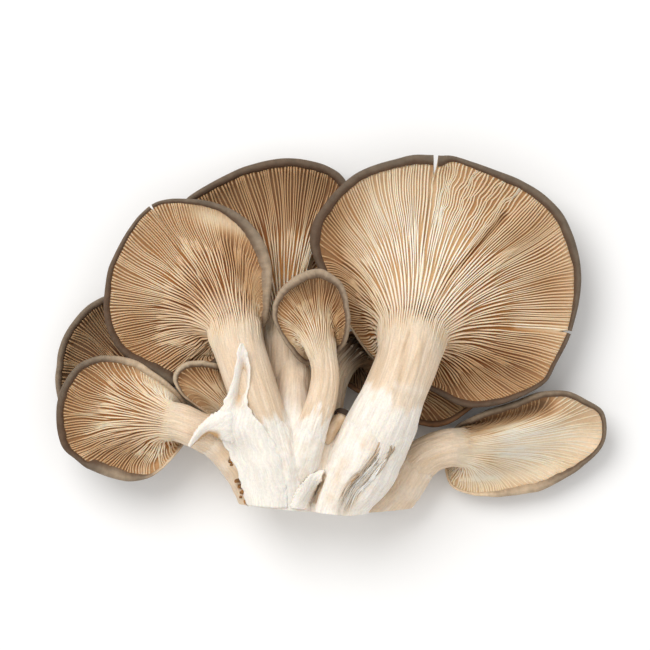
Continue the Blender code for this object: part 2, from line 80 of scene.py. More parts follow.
# The floor: a plain pale table top that the cluster lies on.
bpy.ops.mesh.primitive_plane_add(size=6, location=(0, 0, -0.0002))
floor = bpy.context.object
floor.name = "floor"
floor_paint = bpy.data.materials.new("pale_floor")
floor_paint.use_nodes = True
floor_shader = floor_paint.node_tree.nodes["Principled BSDF"]
floor_shader.inputs["Base Color"].default_value = (0.93, 0.93, 0.93, 1)
floor_shader.inputs["Roughness"].default_value = 0.9
floor_shader.inputs["Specular IOR Level"].default_value = 0.1
floor.data.materials.append(floor_paint)


# The largest mushroom, and how every mushroom here is made.
# A tapered stem turns into the underside of a shallow bowl; the bowl's edge rolls inwards as a felted margin,
# and the brown skin closes the back. The gills are separate thin plates that stand on the bowl's underside.
def linear(red, green, blue):
    """A colour as seen on a screen, 0 to 255, as the shaders take it."""
    values = np.array([red, green, blue], float) / 255
    return np.where(values < 0.04045, values / 12.92, ((values + 0.055) / 1.055) ** 2.4)


CREAM = linear(232, 212, 188)
STRAW = linear(208, 178, 142)
FELT_WHITE = linear(243, 237, 228)
TAUPE = linear(108, 94, 79)
DARK_SKIN = linear(88, 74, 62)
# The margin where it is pale, where it is as pale as the stem, where it is brown, and the painted shade in its
# inner crease.
PALE_RIM, CREAM_RIM = linear(186, 164, 138), linear(226, 203, 172)
BROWN_RIM, RIM_CREASE_SHADE = linear(88, 64, 46), linear(86, 63, 46)
TORN_FLESH = linear(228, 202, 168)
# Gill edges and the furrows between them, from the palest part of a cap to the most shaded one.
# The furrows are darker than the edges partly as painted shade.
CRESTS = [linear(250, 237, 220), linear(235, 212, 182), linear(194, 157, 117)]
FURROWS = [linear(224, 191, 147), linear(189, 132, 71), linear(128, 74, 30)]

# Rows of points from the foot of a stem to the crown of its cap.
STEM_ROWS, GILL_ROWS, LIP_ROWS, SKIN_ROWS = 46, 58, 14, 32
TURN_OUT = math.radians(20)  # how far the gills turn outwards as they leave the stem
CLIMB = math.radians(26)  # how steeply they climb to the margin
# The rolled margin's section: inwards and up, in widths of the margin.
LIP_PROFILE = [(-1, -0.25), (-1.02, -0.02), (-0.92, 0.2), (-0.68, 0.37), (-0.38, 0.43), (-0.14, 0.3)]
LIP_PROFILE += [(0, 0.02), (-0.02, -0.28), (-0.12, -0.55)]
ALONG_FIBRES = 0.09  # how slowly the grain changes along a fibre, against across it


def smooth(low, high, value):
    share = np.clip((value - low) / (high - low), 0, 1)
    return share * share * (3 - 2 * share)


def unit(vectors):
    return vectors / np.maximum(np.linalg.norm(vectors, axis=-1, keepdims=True), 1e-9)


def blend(first, second, share):
    share = np.asarray(share)[..., None]
    return first * (1 - share) + second * share


def by_tone(colours, tone):
    """A colour between three, for a tone from 0 to 1, and darker beyond as painted shade."""
    low = blend(colours[0], colours[1], np.clip(tone * 2, 0, 1))
    mixed = blend(low, colours[2], np.clip(tone * 2 - 1, 0, 1))
    return mixed * (1 - 0.75 * np.clip(np.asarray(tone) - 1, 0, 1))[..., None]


def field(around, down, cells_around, cells_down, seed):
    """Soft random values from -1 to 1, that meet themselves once round."""
    grid = np.random.default_rng(seed).uniform(-1, 1, (cells_down + 2, cells_around))
    x = (around % 1.0) * cells_around
    y = np.clip(down, 0, 0.99999) * cells_down
    i, j = x.astype(int) % cells_around, y.astype(int)
    fx, fy = x - np.floor(x), y - j
    fx, fy = fx * fx * (3 - 2 * fx), fy * fy * (3 - 2 * fy)
    k = (i + 1) % cells_around
    top = grid[j, i] * (1 - fx) + grid[j, k] * fx
    low = grid[j + 1, i] * (1 - fx) + grid[j + 1, k] * fx
    return top * (1 - fy) + low * fy


def sample(grid, row, column):
    """Values between the points of a grid whose columns meet themselves once round."""
    i, j = np.floor(row).astype(int), np.floor(column).astype(int) % grid.shape[1]
    fr, fc = (row - np.floor(row))[..., None], (column - np.floor(column))[..., None]
    k = (j + 1) % grid.shape[1]
    top = grid[i, j] * (1 - fc) + grid[i, k] * fc
    low = grid[i + 1, j] * (1 - fc) + grid[i + 1, k] * fc
    return top * (1 - fr) + low * fr


def around_line(spots, x, y, x_end, y_end, spread):
    """How near each spot is to a line on the picture's plane: 1 on it, fading to 0 over the spread."""
    line = np.array([x_end - x, y_end - y], float)
    away = spots[..., :2] - np.array([x, y], float)
    part = np.clip(away @ line / max(line @ line, 1e-9), 0, 1)
    away = away - part[..., None] * line
    return np.exp(-(away**2).sum(axis=-1) / spread**2)


def trace(points, shares, closed=False):
    """Points at the given shares of the length of a smooth curve through the given ones."""
    knots = np.array(points, float)
    if closed:
        ring = np.vstack([knots[-1], knots, knots[0], knots[1]])
    else:
        ring = np.vstack([2 * knots[0] - knots[1], knots, 2 * knots[-1] - knots[-2]])
    a, b, c, d = ring[:-3, None], ring[1:-2, None], ring[2:-1, None], ring[3:, None]
    t = np.linspace(0, 1, 24, endpoint=False)[None, :, None]
    bend = (2 * a - 5 * b + 4 * c - d) * t**2 + (3 * b - a - 3 * c + d) * t**3
    dense = (0.5 * (2 * b + (c - a) * t + bend)).reshape(-1, knots.shape[1])
    dense = np.vstack([dense, ring[-2]])
    run = np.concatenate([[0], np.cumsum(np.linalg.norm(np.diff(dense[:, :3], axis=0), axis=1))])
    return np.column_stack([np.interp(np.asarray(shares) * run[-1], run, column) for column in dense.T])


def stem_axes(direction):
    along = unit(direction)
    side = unit(np.cross(along, UP))
    return along, side, np.cross(side, along)


def rays_round(direction, angles):
    """Unit vectors away from a line, at each angle round it, for one direction of the line or for many."""
    _, side, front = stem_axes(direction)
    return np.cos(angles)[:, None] * side[..., None, :] + np.sin(angles)[:, None] * front[..., None, :]


def ring_faces(rows, columns, first_pole, last_pole):
    """Faces of a tube of rings, closed by a fan at each end."""
    index = np.arange(rows * columns).reshape(rows, columns)
    low, high = index[:-1], index[1:]
    quads = np.stack([low, high, np.roll(high, -1, 1), np.roll(low, -1, 1)], axis=-1).reshape(-1, 4)
    faces = quads.tolist()
    for i in range(columns):
        k = (i + 1) % columns
        faces.append([int(index[0, k]), first_pole, int(index[0, i])])
        faces.append([int(index[-1, i]), last_pole, int(index[-1, k])])
    return faces


def add_tube(blocks, faces, rings, ends):
    """A tube of rings, closed at its two end points, added to lists of points and faces."""
    base = sum(len(block) for block in blocks)
    rows, columns = rings.shape[:2]
    poles = rows * columns
    blocks.append(np.vstack([rings.reshape(-1, 3), *ends]))
    faces += [[base + i for i in face] for face in ring_faces(rows, columns, poles, poles + 1)]


def paint(mesh, tint, grain=None):
    """A colour for each point, and its place in the fibres."""
    rgba = np.ones((len(tint), 4), np.float32)
    rgba[:, :3] = np.clip(tint, 0, 1)
    mesh.attributes.new("tint", "FLOAT_COLOR", "POINT").data.foreach_set("color", rgba.ravel())
    if grain is not None:
        strands = np.asarray(grain, np.float32)
        mesh.attributes.new("grain", "FLOAT_VECTOR", "POINT").data.foreach_set("vector", strands.ravel())
    mesh.shade_smooth()


def add_mesh(name, points, faces, tint, material, grain=None):
    """A closed mesh from points in millimetres."""
    mesh = bpy.data.meshes.new(name)
    mesh.from_pydata((points * MM).tolist(), [], faces)
    mesh.materials.append(material)
    paint(mesh, tint, grain)
    piece = bpy.data.objects.new(name, mesh)
    bpy.context.scene.collection.objects.link(piece)
    return piece


def flesh_material(name, grain, bump, roughness, depth, fibre, speckle):
    """Flesh or skin: the piece's own tint, broken up by a fine grain and by fibres, over a translucent body.

    grain: cells of the fine grain in a metre; bump: how rough it is; depth: how far light sinks in; fibre: how
    strong the fibres are; speckle: how much the grain lightens and darkens the tint.
    """
    made = bpy.data.materials.new(name)
    made.use_nodes = True
    nodes, link = made.node_tree.nodes, made.node_tree.links.new

    def add(kind, values):
        node = nodes.new(kind)
        for socket, value in values.items():
            node.inputs[socket].default_value = value
        return node

    def attribute(attribute_name):
        node = nodes.new("ShaderNodeAttribute")
        node.attribute_name = attribute_name
        return node

    def spread(noise_node, half_width, darkest, palest):
        limits = {"From Min": 0.5 - half_width, "From Max": 0.5 + half_width, "To Min": darkest, "To Max": palest}
        node = add("ShaderNodeMapRange", limits)
        link(noise_node.outputs["Fac"], node.inputs["Value"])
        return node.outputs["Result"]

    fine = add("ShaderNodeTexNoise", {"Scale": grain, "Detail": 4, "Roughness": 0.65})
    link(nodes.new("ShaderNodeTexCoord").outputs["Object"], fine.inputs["Vector"])
    strands = add("ShaderNodeTexNoise", {"Scale": 1.5, "Detail": 4, "Roughness": 0.6})
    link(attribute("grain").outputs["Vector"], strands.inputs["Vector"])

    factor = nodes.new("ShaderNodeMath")
    factor.operation = "MULTIPLY"
    link(spread(fine, 0.2, 1 - speckle, 1 + 0.7 * speckle), factor.inputs[0])
    link(spread(strands, 0.18, 1 - 0.2 * fibre, 1 + 0.1 * fibre), factor.inputs[1])
    mixed = nodes.new("ShaderNodeVectorMath")
    mixed.operation = "SCALE"
    link(attribute("tint").outputs["Color"], mixed.inputs[0])
    link(factor.outputs["Value"], mixed.inputs["Scale"])

    rough = add("ShaderNodeBump", {"Strength": bump, "Distance": 0.0003})
    link(fine.outputs["Fac"], rough.inputs["Height"])
    ribbed = add("ShaderNodeBump", {"Strength": fibre, "Distance": 0.0005})
    link(strands.outputs["Fac"], ribbed.inputs["Height"])
    link(rough.outputs["Normal"], ribbed.inputs["Normal"])

    shader = nodes["Principled BSDF"]
    shader.inputs["Roughness"].default_value = roughness
    shader.inputs["Specular IOR Level"].default_value = 0.25
    shader.inputs["Subsurface Weight"].default_value = depth
    shader.inputs["Subsurface Radius"].default_value = (1.0, 0.6, 0.35)
    shader.inputs["Subsurface Scale"].default_value = 0.0012
    link(mixed.outputs["Vector"], shader.inputs["Base Color"])
    link(ribbed.outputs["Normal"], shader.inputs["Normal"])
    return made


body_flesh = flesh_material("mushroom_flesh", 1400, bump=0.3, roughness=0.72, depth=0.25, fibre=0.6, speckle=0.09)
gill_flesh = flesh_material("gill_plates", 900, bump=0.1, roughness=0.6, depth=0.5, fibre=0.0, speckle=0.05)


def spread_columns(rim, columns, notches):
    """The columns' places round the rim, from 0 to 1, drawn together at each notch, and where the notches are."""
    dense = trace(rim, np.linspace(0, 1, 2000, endpoint=False), closed=True)
    girth = np.linalg.norm(dense - np.roll(dense, 1, axis=0), axis=1).sum()
    places = np.arange(columns) / columns
    cuts = []
    for x, y, width, cut in notches:
        middle = np.argmin((dense[:, 0] - x) ** 2 + (dense[:, 1] - y) ** 2) / len(dense)
        half = 0.5 * width / girth
        near = middle + np.linspace(-1.6, 1.6, 15) * half
        places = np.unique(np.concatenate([places[np.abs(places - middle) > 1.8 * half], near]))
        cuts.append((middle, half, cut))
    return places, cuts


def stem_rings(path, headings, bearing, bumps, seed):
    """The stem's rings, with fibres that run its length, a few soft dents and its own bumps and scars."""
    angle = bearing / (2 * math.pi)
    level = np.linspace(0, 1, STEM_ROWS)[:, None]
    fibres = field(angle, level, 46, 4, seed + 3) * 0.6 + field(angle, level, 97, 7, seed + 4) * 0.5
    dents = field(angle, level, 5, 4, seed + 5) * 0.04 * path[:, 3:]
    relief = (1 - smooth(0.85, 1.0, level)) * (0.22 * fibres + dents)
    rings = path[:, None, :3] + (path[:, 3:] + relief)[..., None] * rays_round(headings, bearing)
    rays = unit(rings - path[:, None, :3])
    whitened = np.zeros(rings.shape[:2])
    for *line, height, whiteness in bumps:
        near = around_line(rings, *line) * (rays[..., 2] > -0.2) * (0.8 + 0.5 * fibres)
        rings = rings + (height * near)[..., None] * rays
        whitened += whiteness * near
    return rings, fibres, whitened


def close_back(under, crown, press, bed):
    """Rows of skin from the margin to the crown, clear of the gills' bed above them."""
    floor_z = crown[2] - press
    sparse = bed[::4, ::3].reshape(-1, 3)
    skins = []
    for u in np.linspace(0, 1, SKIN_ROWS + 2)[1:-1] ** 1.15:
        skin = under + u * (np.array(crown, float) - under)
        skin[:, 2] = np.maximum(crown[2], floor_z + (under[:, 2] - floor_z) * (1 - u) ** 2)
        apart = np.linalg.norm(skin[:, None, :2] - sparse[None, :, :2], axis=2)
        roof = np.where(apart < 3.5, sparse[:, 2], np.inf).min(axis=1) - 1.1 * smooth(0, 0.12, u) - 0.3
        skin[:, 2] = np.maximum(min(crown[2], 0.0), np.minimum(skin[:, 2], roof))
        skins.append(skin)
    skins = np.array(skins)
    for _ in range(3):
        ring_mean = (np.roll(skins, 1, axis=1) + np.roll(skins, -1, axis=1)) / 2
        skins[:, :, 2] = (skins[:, :, 2] + ring_mean[:, :, 2]) / 2
    return skins


def tint_body(cap, fibres, whitened, torn, white, lip_tone, margins, bare, seed):
    """The body's colours: a cream stem, white felt at its foot, a brown bed, the felted margin and the skin,
    with painted shade in the margin's inner crease and, where the gills' tone runs past 1, on the stem.
    """
    level = np.linspace(0, 1, STEM_ROWS)[:, None]
    cloud = field(cap.places, level, 9, 6, seed + 6)
    straw = np.clip(0.3 + 0.5 * fibres + 0.25 * cloud, 0, 1) * 0.7 * (1 - smooth(0.7, 1.0, level))
    # Painted shade: where the gills' tone runs past 1, the stem is darkened as well.
    shade_dim = 1 - 0.5 * np.clip(cap.tone_at(cap.ground[:STEM_ROWS]) - 1, 0, 1)
    stem = blend(CREAM, STRAW, straw) * shade_dim[..., None]
    ragged = 0.12 * field(cap.places, level, 14, 8, seed + 7) + 0.07 * field(cap.places, level, 40, 14, seed + 8)
    felt = np.clip(1 - smooth(white - 0.12, white + 0.03, level + ragged) + whitened, -0.2, 1)
    stem = blend(stem, STRAW * 0.9, np.clip(-felt, 0, 1))
    stem = blend(stem, FELT_WHITE * (1 + 0.05 * fibres[..., None]), np.maximum(felt, 0) * 0.9)

    outwards = np.linspace(0, 1, GILL_ROWS + 1)[1:, None]
    below = cap.ground[STEM_ROWS:]
    tone = cap.tone_at(below)
    bed = by_tone(FURROWS, tone + 0.15)
    bed = blend(bed, by_tone(CRESTS, tone * 0.8 + 0.55) * 0.78, 0.5 * smooth(0.4, 0.95, outwards))
    for zone in bare:
        bed = blend(bed, by_tone(CRESTS, tone * 0.8 + 0.4), 0.85 * around_line(below, *zone))
    bed = blend(CREAM, bed, smooth(0.0, 0.2, outwards) * cap.gilled)

    over = np.linspace(0, 1, LIP_ROWS)[:, None]
    pale = np.zeros(len(cap.places))
    for x, y, spread, amount in margins:
        pale += amount * np.exp(-((cap.edge[:, 0] - x) ** 2 + (cap.edge[:, 1] - y) ** 2) / spread**2)
    rim_tone = blend(lip_tone, PALE_RIM, np.clip(pale, 0, 1))
    rim_tone = blend(rim_tone, CREAM_RIM, np.clip(pale - 1, 0, 1))
    rim_tone = blend(rim_tone, BROWN_RIM, np.clip(-pale, 0, 1))
    mottled = 1 + 0.16 * field(cap.places, over, 150, 4, seed + 9)
    # Painted shade along the crease inside the margin, fainter where the margin is pale.
    inner = 1 - smooth(0.2, 0.42, over + 0.05 * field(cap.places, over, 90, 3, seed + 19))
    lip = rim_tone * (mottled * (1 - 0.1 * smooth(0.55, 0.75, over)))[..., None]
    lip = blend(lip, RIM_CREASE_SHADE, 0.75 * inner * (1 - 0.75 * np.clip(pale, 0, 1)))

    back = np.linspace(0, 1, SKIN_ROWS)[:, None]
    streak = 0.5 + 0.5 * field(cap.places, back, len(cap.places) // 2, 5, seed + 10)
    skin = blend(blend(rim_tone, DARK_SKIN, smooth(0, 0.5, back)), TAUPE * 1.1, 0.5 * streak)
    tint = np.concatenate([stem, bed, lip, skin])
    row = np.arange(len(tint))[:, None] - STEM_ROWS
    return blend(tint, TORN_FLESH, 0.85 * torn * ((row >= 0.93 * GILL_ROWS) & (row < GILL_ROWS + LIP_ROWS)))


def stand_plates(cap, plates, down, depth, packed, crimps, bare, seed):
    """The gill plates: long ones that run the whole way, and shorter ones that begin between them further out.

    Where the gills are crimped, they swing from side to side together near the margin.
    """
    rng = np.random.default_rng(seed)
    columns = len(cap.places)
    numbers = np.arange(columns + 1)
    unrolled = np.append((cap.places - cap.places[0]) % 1, 1.0)
    share_gap = unrolled[1:] - np.concatenate([[unrolled[-2] - 1], unrolled[:-2]])
    per_column = np.broadcast_to(np.stack([share_gap, cap.gilled, cap.lip[:, 0]], axis=1), cap.bed.shape)
    waves = np.zeros(columns)
    for x, y, spread in crimps:
        waves = np.maximum(waves, smooth(1.2, 0.7, np.hypot(cap.edge[:, 0] - x, cap.edge[:, 1] - y) / spread))
    waves = np.append(waves, waves[:1])
    tiers = [
        # how many, shifted by, begins, scatter, steps, how many stand side by side there
        (plates, 0.0, down, 0.05, 16, 1),
        (plates, 0.5, 0.2, 0.07, 16, 2),
        (plates * 2, 0.5, 0.46, 0.09, 14, 4),
        (plates * 4, 0.5, 0.74, 0.06, 7, 8),
    ]
    blocks, faces, tints = [], [], []
    for count, offset, begin, scatter, steps, beside in tiers:
        # A plate is left out where it would stand too close, and the shortest ones where the gills are crimped.
        home = (np.arange(count) + offset) / count
        first = begin + rng.uniform(-scatter, scatter, count)
        at = np.interp(home, unrolled, numbers)
        rooted = np.minimum(at.astype(int), columns - 1)
        wavy = np.interp(at, numbers, waves) > 0.02
        middle = STEM_ROWS + int(GILL_ROWS * (0.45 + 0.5 * max(begin, 0)))
        step = cap.side_step[middle, rooted]
        ahead = unit(cap.ground[min(middle + 2, len(cap.ground) - 1), rooted] - cap.ground[middle - 2, rooted])
        step = np.linalg.norm(step - (step * ahead).sum(axis=1)[:, None] * ahead, axis=1)
        room = step / share_gap[rooted] / plates / beside
        keep = ((room > packed) | (beside == 1)) & ~(wavy & (beside == 8))
        home, first, wavy = home[keep], first[keep, None], wavy[keep, None]
        if not len(home):
            continue

        # The way of each plate: its steps outwards, its drift from side to side, and its place on the bed.
        share = np.linspace(0, 1, steps + 1)[None]
        calm = np.clip((0.6 - first) / (1 - first), 0.2, 1)
        bent = np.where(share < 0.35, share / 0.35 * calm, calm + (share - 0.35) / 0.65 * (1 - calm))
        reach = first + (1 - first) * np.where(wavy, bent, share)
        capped = np.clip(reach, 0, 1)
        mid = np.repeat(home[:, None], steps + 1, 1)
        low = (reach + 0.6) / 1.7
        drift = field(mid, low, 60, 6, seed + 11) * 0.16 + field(mid, low, 19, 5, seed + 22) * 0.3
        drift = drift + field(mid, 0 * mid, plates * 3, 1, seed + 23) * 0.07
        wave = np.interp(np.interp(mid, unrolled, numbers), numbers, waves)
        curl = field(mid, reach, int(plates * 2.4), 13, seed + 12) * 0.15
        curl = curl + field(mid, reach, int(plates * 1.3), 17, seed + 18) * 0.2
        drift = (drift + wave * smooth(0.55, 0.72, reach) * curl) / plates
        column = np.interp((mid + drift) % 1, unrolled, numbers) % columns
        row = STEM_ROWS - 1 + reach * np.where(reach < 0, STEM_ROWS, GILL_ROWS)
        row = np.clip(row, 0, STEM_ROWS + GILL_ROWS - 1.001)
        root = sample(cap.bed, row, column)
        lift = unit(sample(cap.normal, row, column))
        across = unit(np.cross(lift, unit(np.gradient(root, axis=1))))
        gap_here, present, width_here = np.moveaxis(sample(per_column, row, column), -1, 0)

        # How far apart the plates stand here, and so how tall and how thick each can be.
        room = np.abs((sample(cap.side_step, row, column) * across).sum(axis=-1)) / gap_here / plates
        beside_here = 1 + smooth(0.16, 0.32, reach) * (room > 2 * packed)
        beside_here = beside_here + 2 * smooth(0.4, 0.56, reach) * (room > 4 * packed)
        beside_here = beside_here + 4 * smooth(0.7, 0.82, reach) * (room > 8 * packed) * (wave < 0.02)
        spacing = np.clip(room / beside_here, 0.15, 2.4)
        rise = smooth(0, 0.16 if begin < 0 else 0.1, reach - first)
        size = np.where(reach < 0.15, 0.45 + 0.55 * smooth(-0.25, 0.15, reach), 1.0)
        unevenness = 1 + 0.2 * field(mid, capped, plates * 2, 7, seed + 13)
        tall = np.minimum(depth * rise * unevenness * present * size, 0.9 * spacing * unevenness + 0.2)
        tall = tall - smooth(0.75, 0.97, reach) * np.maximum(tall - 0.5 * width_here, 0)
        fading = np.zeros(tall.shape)
        for zone in bare:
            fading = np.maximum(fading, around_line(root, *zone))
        tall = tall * (1 - 0.25 * wave) * (1 - 0.85 * fading) * (1 - 0.45 * smooth(0.5, 1.0, reach))
        lean = 0.15 * field(mid, capped, plates, 8, seed + 14) * tall
        foot = (0.47 * spacing * (0.3 + 0.7 * rise))[..., None] * across
        head = ((0.15 + 0.03 * smooth(0.5, 1.0, reach)) * spacing * (0.3 + 0.7 * rise))[..., None] * across
        sunk = root - 0.35 * lift
        crest = root + tall[..., None] * lift + lean[..., None] * across
        block = np.stack([sunk - foot, crest - head, crest + head, sunk + foot], axis=2)
        index = sum(map(len, blocks)) + np.arange(block[..., 0].size).reshape(block.shape[:3])
        for p, q in ((0, 1), (1, 2), (2, 3), (3, 0)):
            quad = np.stack([index[:, :-1, p], index[:, 1:, p], index[:, 1:, q], index[:, :-1, q]], axis=-1)
            faces += quad.reshape(-1, 4).tolist()
        faces += index[:, 0].tolist() + index[:, -1, ::-1].tolist()

        # Colours: brown furrows, darker partly as painted shade, and pale edges, softer near the margin, and cream
        # where a plate runs down the stem.
        patch = field(column / columns, capped, 26, 4, seed + 16)
        tone = np.clip(cap.tone_at(crest) + 0.15 * patch, 0, 2)
        shade = smooth(down * 0.6 - 0.05, 0.25 + down * 0.4, reach)
        near_edge = smooth(0.4, 0.95, reach)
        # Painted shade: past a tone of 1 the cream is darkened as well.
        shade_dim = (1 - 0.5 * np.clip(tone - 1, 0, 1))[..., None]
        top_tint = blend(CREAM * shade_dim, by_tone(CRESTS, tone), shade)
        low_tint = blend(blend(CREAM, STRAW, 0.5) * shade_dim, by_tone(FURROWS, tone + 0.1), shade)
        top_tint = blend(top_tint, by_tone(CRESTS, tone * 0.8 + 0.38 - 0.1 * wave), near_edge)
        low_tint = blend(low_tint, by_tone(CRESTS, tone * 0.8 + 0.55) * 0.82, 0.5 * near_edge)
        low_tint = blend(low_tint, top_tint * 0.95, 0.8 * fading)
        top_tint = blend(low_tint, top_tint, 0.2 + 0.8 * smooth(0, 0.16, reach - first))
        blocks.append(block.reshape(-1, 3))
        tints.append(np.stack([low_tint, top_tint, top_tint, low_tint], axis=2).reshape(-1, 3))
    return np.vstack(blocks), faces, np.vstack(tints)


def grow(
    name, stem, rim, crown, columns, plates, press=0, collar=True, straight=0.35, seed=1, white=0.4, brown=0.5,
    lip_tone=TAUPE, depth=1.3, down=-0.22, packed=0.62, painted_shading=(), margins=(), notches=(), crimps=(), bumps=(),
    folds=(), bare=(),
):
    """One mushroom: its body and its gill plates.

    stem: x, y, z, radius from the foot to where the gills begin; rim: x, y, z and the margin's width, round the
    cap; crown: the top of the cap, underneath; columns: points round it; plates: how many gills run the whole
    way; press: how far the crown is pressed flat; collar: whether the margin closes round the back of the stem;
    straight: how squarely the gills meet the margin; white: how far up the stem the white felt reaches; brown:
    how deep the gills' colour is, with painted shade in it on the caps that lie in shade, and painted shade only
    past 1; depth: the gills' height; down: how far they run down the stem; packed: how near a short plate may
    stand to its neighbours, in millimetres.
    Places that differ: shades (x, y, x, y, reach, amount) on the gills, painted shade where the amount is above 0
    and painted light where it is below, margins (x, y, reach, amount) on the margin, notches (x, y, width, depth)
    in the rim, crimps (x, y, reach) where the gills are wavy, bumps (x, y, x, y, reach, height, whiteness) on the
    stem, folds (x, y, x, y, reach, height) in the underside, and bare (x, y, x, y, reach), where the gills fade
    away.
    """
    places, cuts = spread_columns(rim, columns, notches)
    columns = len(places)
    path = trace(stem, np.linspace(0, 1, STEM_ROWS))
    headings = np.gradient(path[:, :3], axis=0)
    apex, radius = path[-1, :3], path[-1, 3]
    along, side, _ = stem_axes(headings[-1])

    # The rim's points, counted from the one that lies behind the stem.
    loop = trace(rim, places, closed=True)
    bearing = np.arctan2((loop[:, :3] - apex) @ np.cross(UP, side), (loop[:, :3] - apex) @ side)
    behind = int(np.argmin(np.abs(np.angle(np.exp(1j * (bearing + math.pi / 2))))))
    loop, bearing, places = (np.roll(values, -behind, axis=0) for values in (loop, bearing, places))

    def wobble(cells, number):
        return field(places, places * 0, cells, 1, seed + number)

    edge = loop[:, :3]
    lip = loop[:, 3:4] * (1 + 0.06 * wobble(67, 20) + 0.05 * wobble(151, 21))[:, None]
    spokes = rays_round(headings[-1], bearing)
    if collar:
        distance = np.linalg.norm(edge - apex, axis=1) / radius
        ahead = smooth(-0.5, 0.0, np.sin(bearing))
        free = np.maximum(smooth(1.2, 1.9, distance), ahead)[:, None]
        edge = free * edge + (1 - free) * (apex + (radius + 2.2) * spokes - 1.0 * along)
        for _ in range(200):
            middle = (np.roll(edge, -1, axis=0) + np.roll(edge, 1, axis=0)) / 2
            edge += 0.5 * (1 - free) * (middle - edge)
    start = apex + radius * spokes
    lip = np.minimum(lip, 0.5 * np.linalg.norm(edge - start, axis=1)[:, None])
    out = unit(np.cross(np.roll(edge, -3, axis=0) - np.roll(edge, 3, axis=0), UP))
    wander = wobble(41, 0) * 0.3 + wobble(23, 1) * 0.5
    edge = edge + 0.35 * wander[:, None] * out * np.minimum(lip / 2, 1)
    edge[:, 2] += 0.6 * wobble(17, 2)
    torn, cut_back = np.zeros(columns), np.zeros(columns)
    for place, half, cut in cuts:
        away = np.abs((places - place + 0.5) % 1 - 0.5) / half
        bite = np.clip((1.15 - away) / 0.3, 0, 1)
        cut_back = np.maximum(cut_back, cut * bite * (1 - 0.55 * np.clip(away, 0, 1)))
        torn = np.maximum(torn, np.clip((1.3 - away) / 0.2, 0, 1))

    # Each column leaves the stem along its flare, and climbs to the crease under the margin.
    crease = edge - lip * out - 0.25 * lip * UP
    reach = np.linalg.norm(crease - start, axis=1)[:, None]
    forward = ((1 + np.sin(bearing)) / 2)[:, None]
    chord = (crease - start) / reach
    long = smooth(2, 9, reach)
    flare = math.cos(TURN_OUT) * along + math.sin(TURN_OUT) * spokes
    radial = unit(chord * [1.0, 1.0, 0.0])
    sideways = 0.65 * smooth(0.1, 0.6, (radial * out).sum(axis=1))[:, None] * smooth(4, 14, reach)
    climb = math.cos(CLIMB) * unit(out * (1 - sideways) + radial * sideways) + math.sin(CLIMB) * UP
    leave = start + reach * (0.15 * chord + 0.3 * long * forward * flare)
    arrive = crease - reach * (0.25 * (1 - long) * chord + straight * long * climb)

    # The bowl's underside. The plates rise from a bed that lies a little below the mean surface.
    rings, fibres, whitened = stem_rings(path, headings, bearing, bumps, seed)
    t = np.linspace(0, 1, GILL_ROWS + 1)[1:, None, None]
    speed = 3 * np.linalg.norm(crease - arrive, axis=1) + 1e-6
    s = t * (1 - np.minimum(cut_back / speed, 0.4)[None, :, None] * smooth(0.6, 1.0, t))
    bowl = (1 - s) ** 3 * start + 3 * (1 - s) ** 2 * s * leave + 3 * (1 - s) * s**2 * arrive + s**3 * crease
    lip = lip * (1 - 0.75 * torn[:, None])
    edge = bowl[-1] + lip * out + 0.25 * lip * UP
    for *line, height in folds:
        fade = smooth(0.0, 0.2, t) * (1 - smooth(0.8, 1.0, t))
        bowl = bowl + (height * around_line(bowl, *line))[..., None] * fade * UP
    ground = np.concatenate([rings, bowl])
    side_step = np.roll(ground, -1, axis=1) - np.roll(ground, 1, axis=1)
    normal = unit(np.cross(np.gradient(ground, axis=0), side_step))
    gilled = smooth(1.5, 6, reach[:, 0])
    sink = np.zeros(len(ground))
    sink[STEM_ROWS:] = (smooth(0.0, 0.3, t) * (1 - smooth(0.93, 1.0, t)))[:, 0, 0]
    bed = ground - (0.5 * depth * sink[:, None] * gilled)[..., None] * normal

    # The rolled margin and the skin behind it.
    profile = trace([(x, y, 0) for x, y in LIP_PROFILE], np.linspace(0, 1, LIP_ROWS + 1))[1:, :2]
    lips = np.array([edge + inward * lip * out + rise * lip * UP for inward, rise in profile])
    points = np.concatenate([bed, lips, close_back(lips[-1], crown, press, bed[STEM_ROWS:])])

    # The gills' tone at each spot: the cap's brown, with the spots of painted shade and painted light added.
    def tone_at(spots):
        tone = np.full(spots.shape[:-1], brown)
        for *line, amount in painted_shading:
            tone = tone + amount * around_line(spots, *line)
        return np.clip(tone, 0, 2)

    cap = SimpleNamespace(
        places=places, edge=edge, lip=lip, ground=ground, side_step=side_step, normal=normal, bed=bed,
        gilled=gilled, tone_at=tone_at,
    )
    tint = tint_body(cap, fibres, whitened, torn, white, lip_tone, margins, bare, seed)
    rows = len(points)
    travelled = np.concatenate([np.linspace(0, 40, STEM_ROWS), 40 + np.linspace(1, 60, rows - STEM_ROWS)])
    size = np.concatenate([path[:, 3], np.full(rows - STEM_ROWS, 16.0)])
    strands = np.zeros((rows, columns, 3))
    strands[..., 0] = np.outer(size, np.cos(bearing))
    strands[..., 1] = np.outer(size, np.sin(bearing))
    strands[..., 2] = ALONG_FIBRES * travelled[:, None]
    body = add_mesh(
        name + "_body",
        np.vstack([points.reshape(-1, 3), points[0].mean(axis=0), crown]),
        ring_faces(rows, columns, rows * columns, rows * columns + 1),
        np.vstack([tint.reshape(-1, 3), FELT_WHITE, DARK_SKIN]),
        body_flesh,
        np.vstack([strands.reshape(-1, 3), [[0, 0, 0], [0, 0, 9]]]),
    )
    gill_mesh = stand_plates(cap, plates, down, depth, packed, crimps, bare, seed)
    gills = add_mesh(name + "_gills", *gill_mesh, gill_flesh)
    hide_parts(name)
    for piece in (body, gills):
        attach(piece, "root")


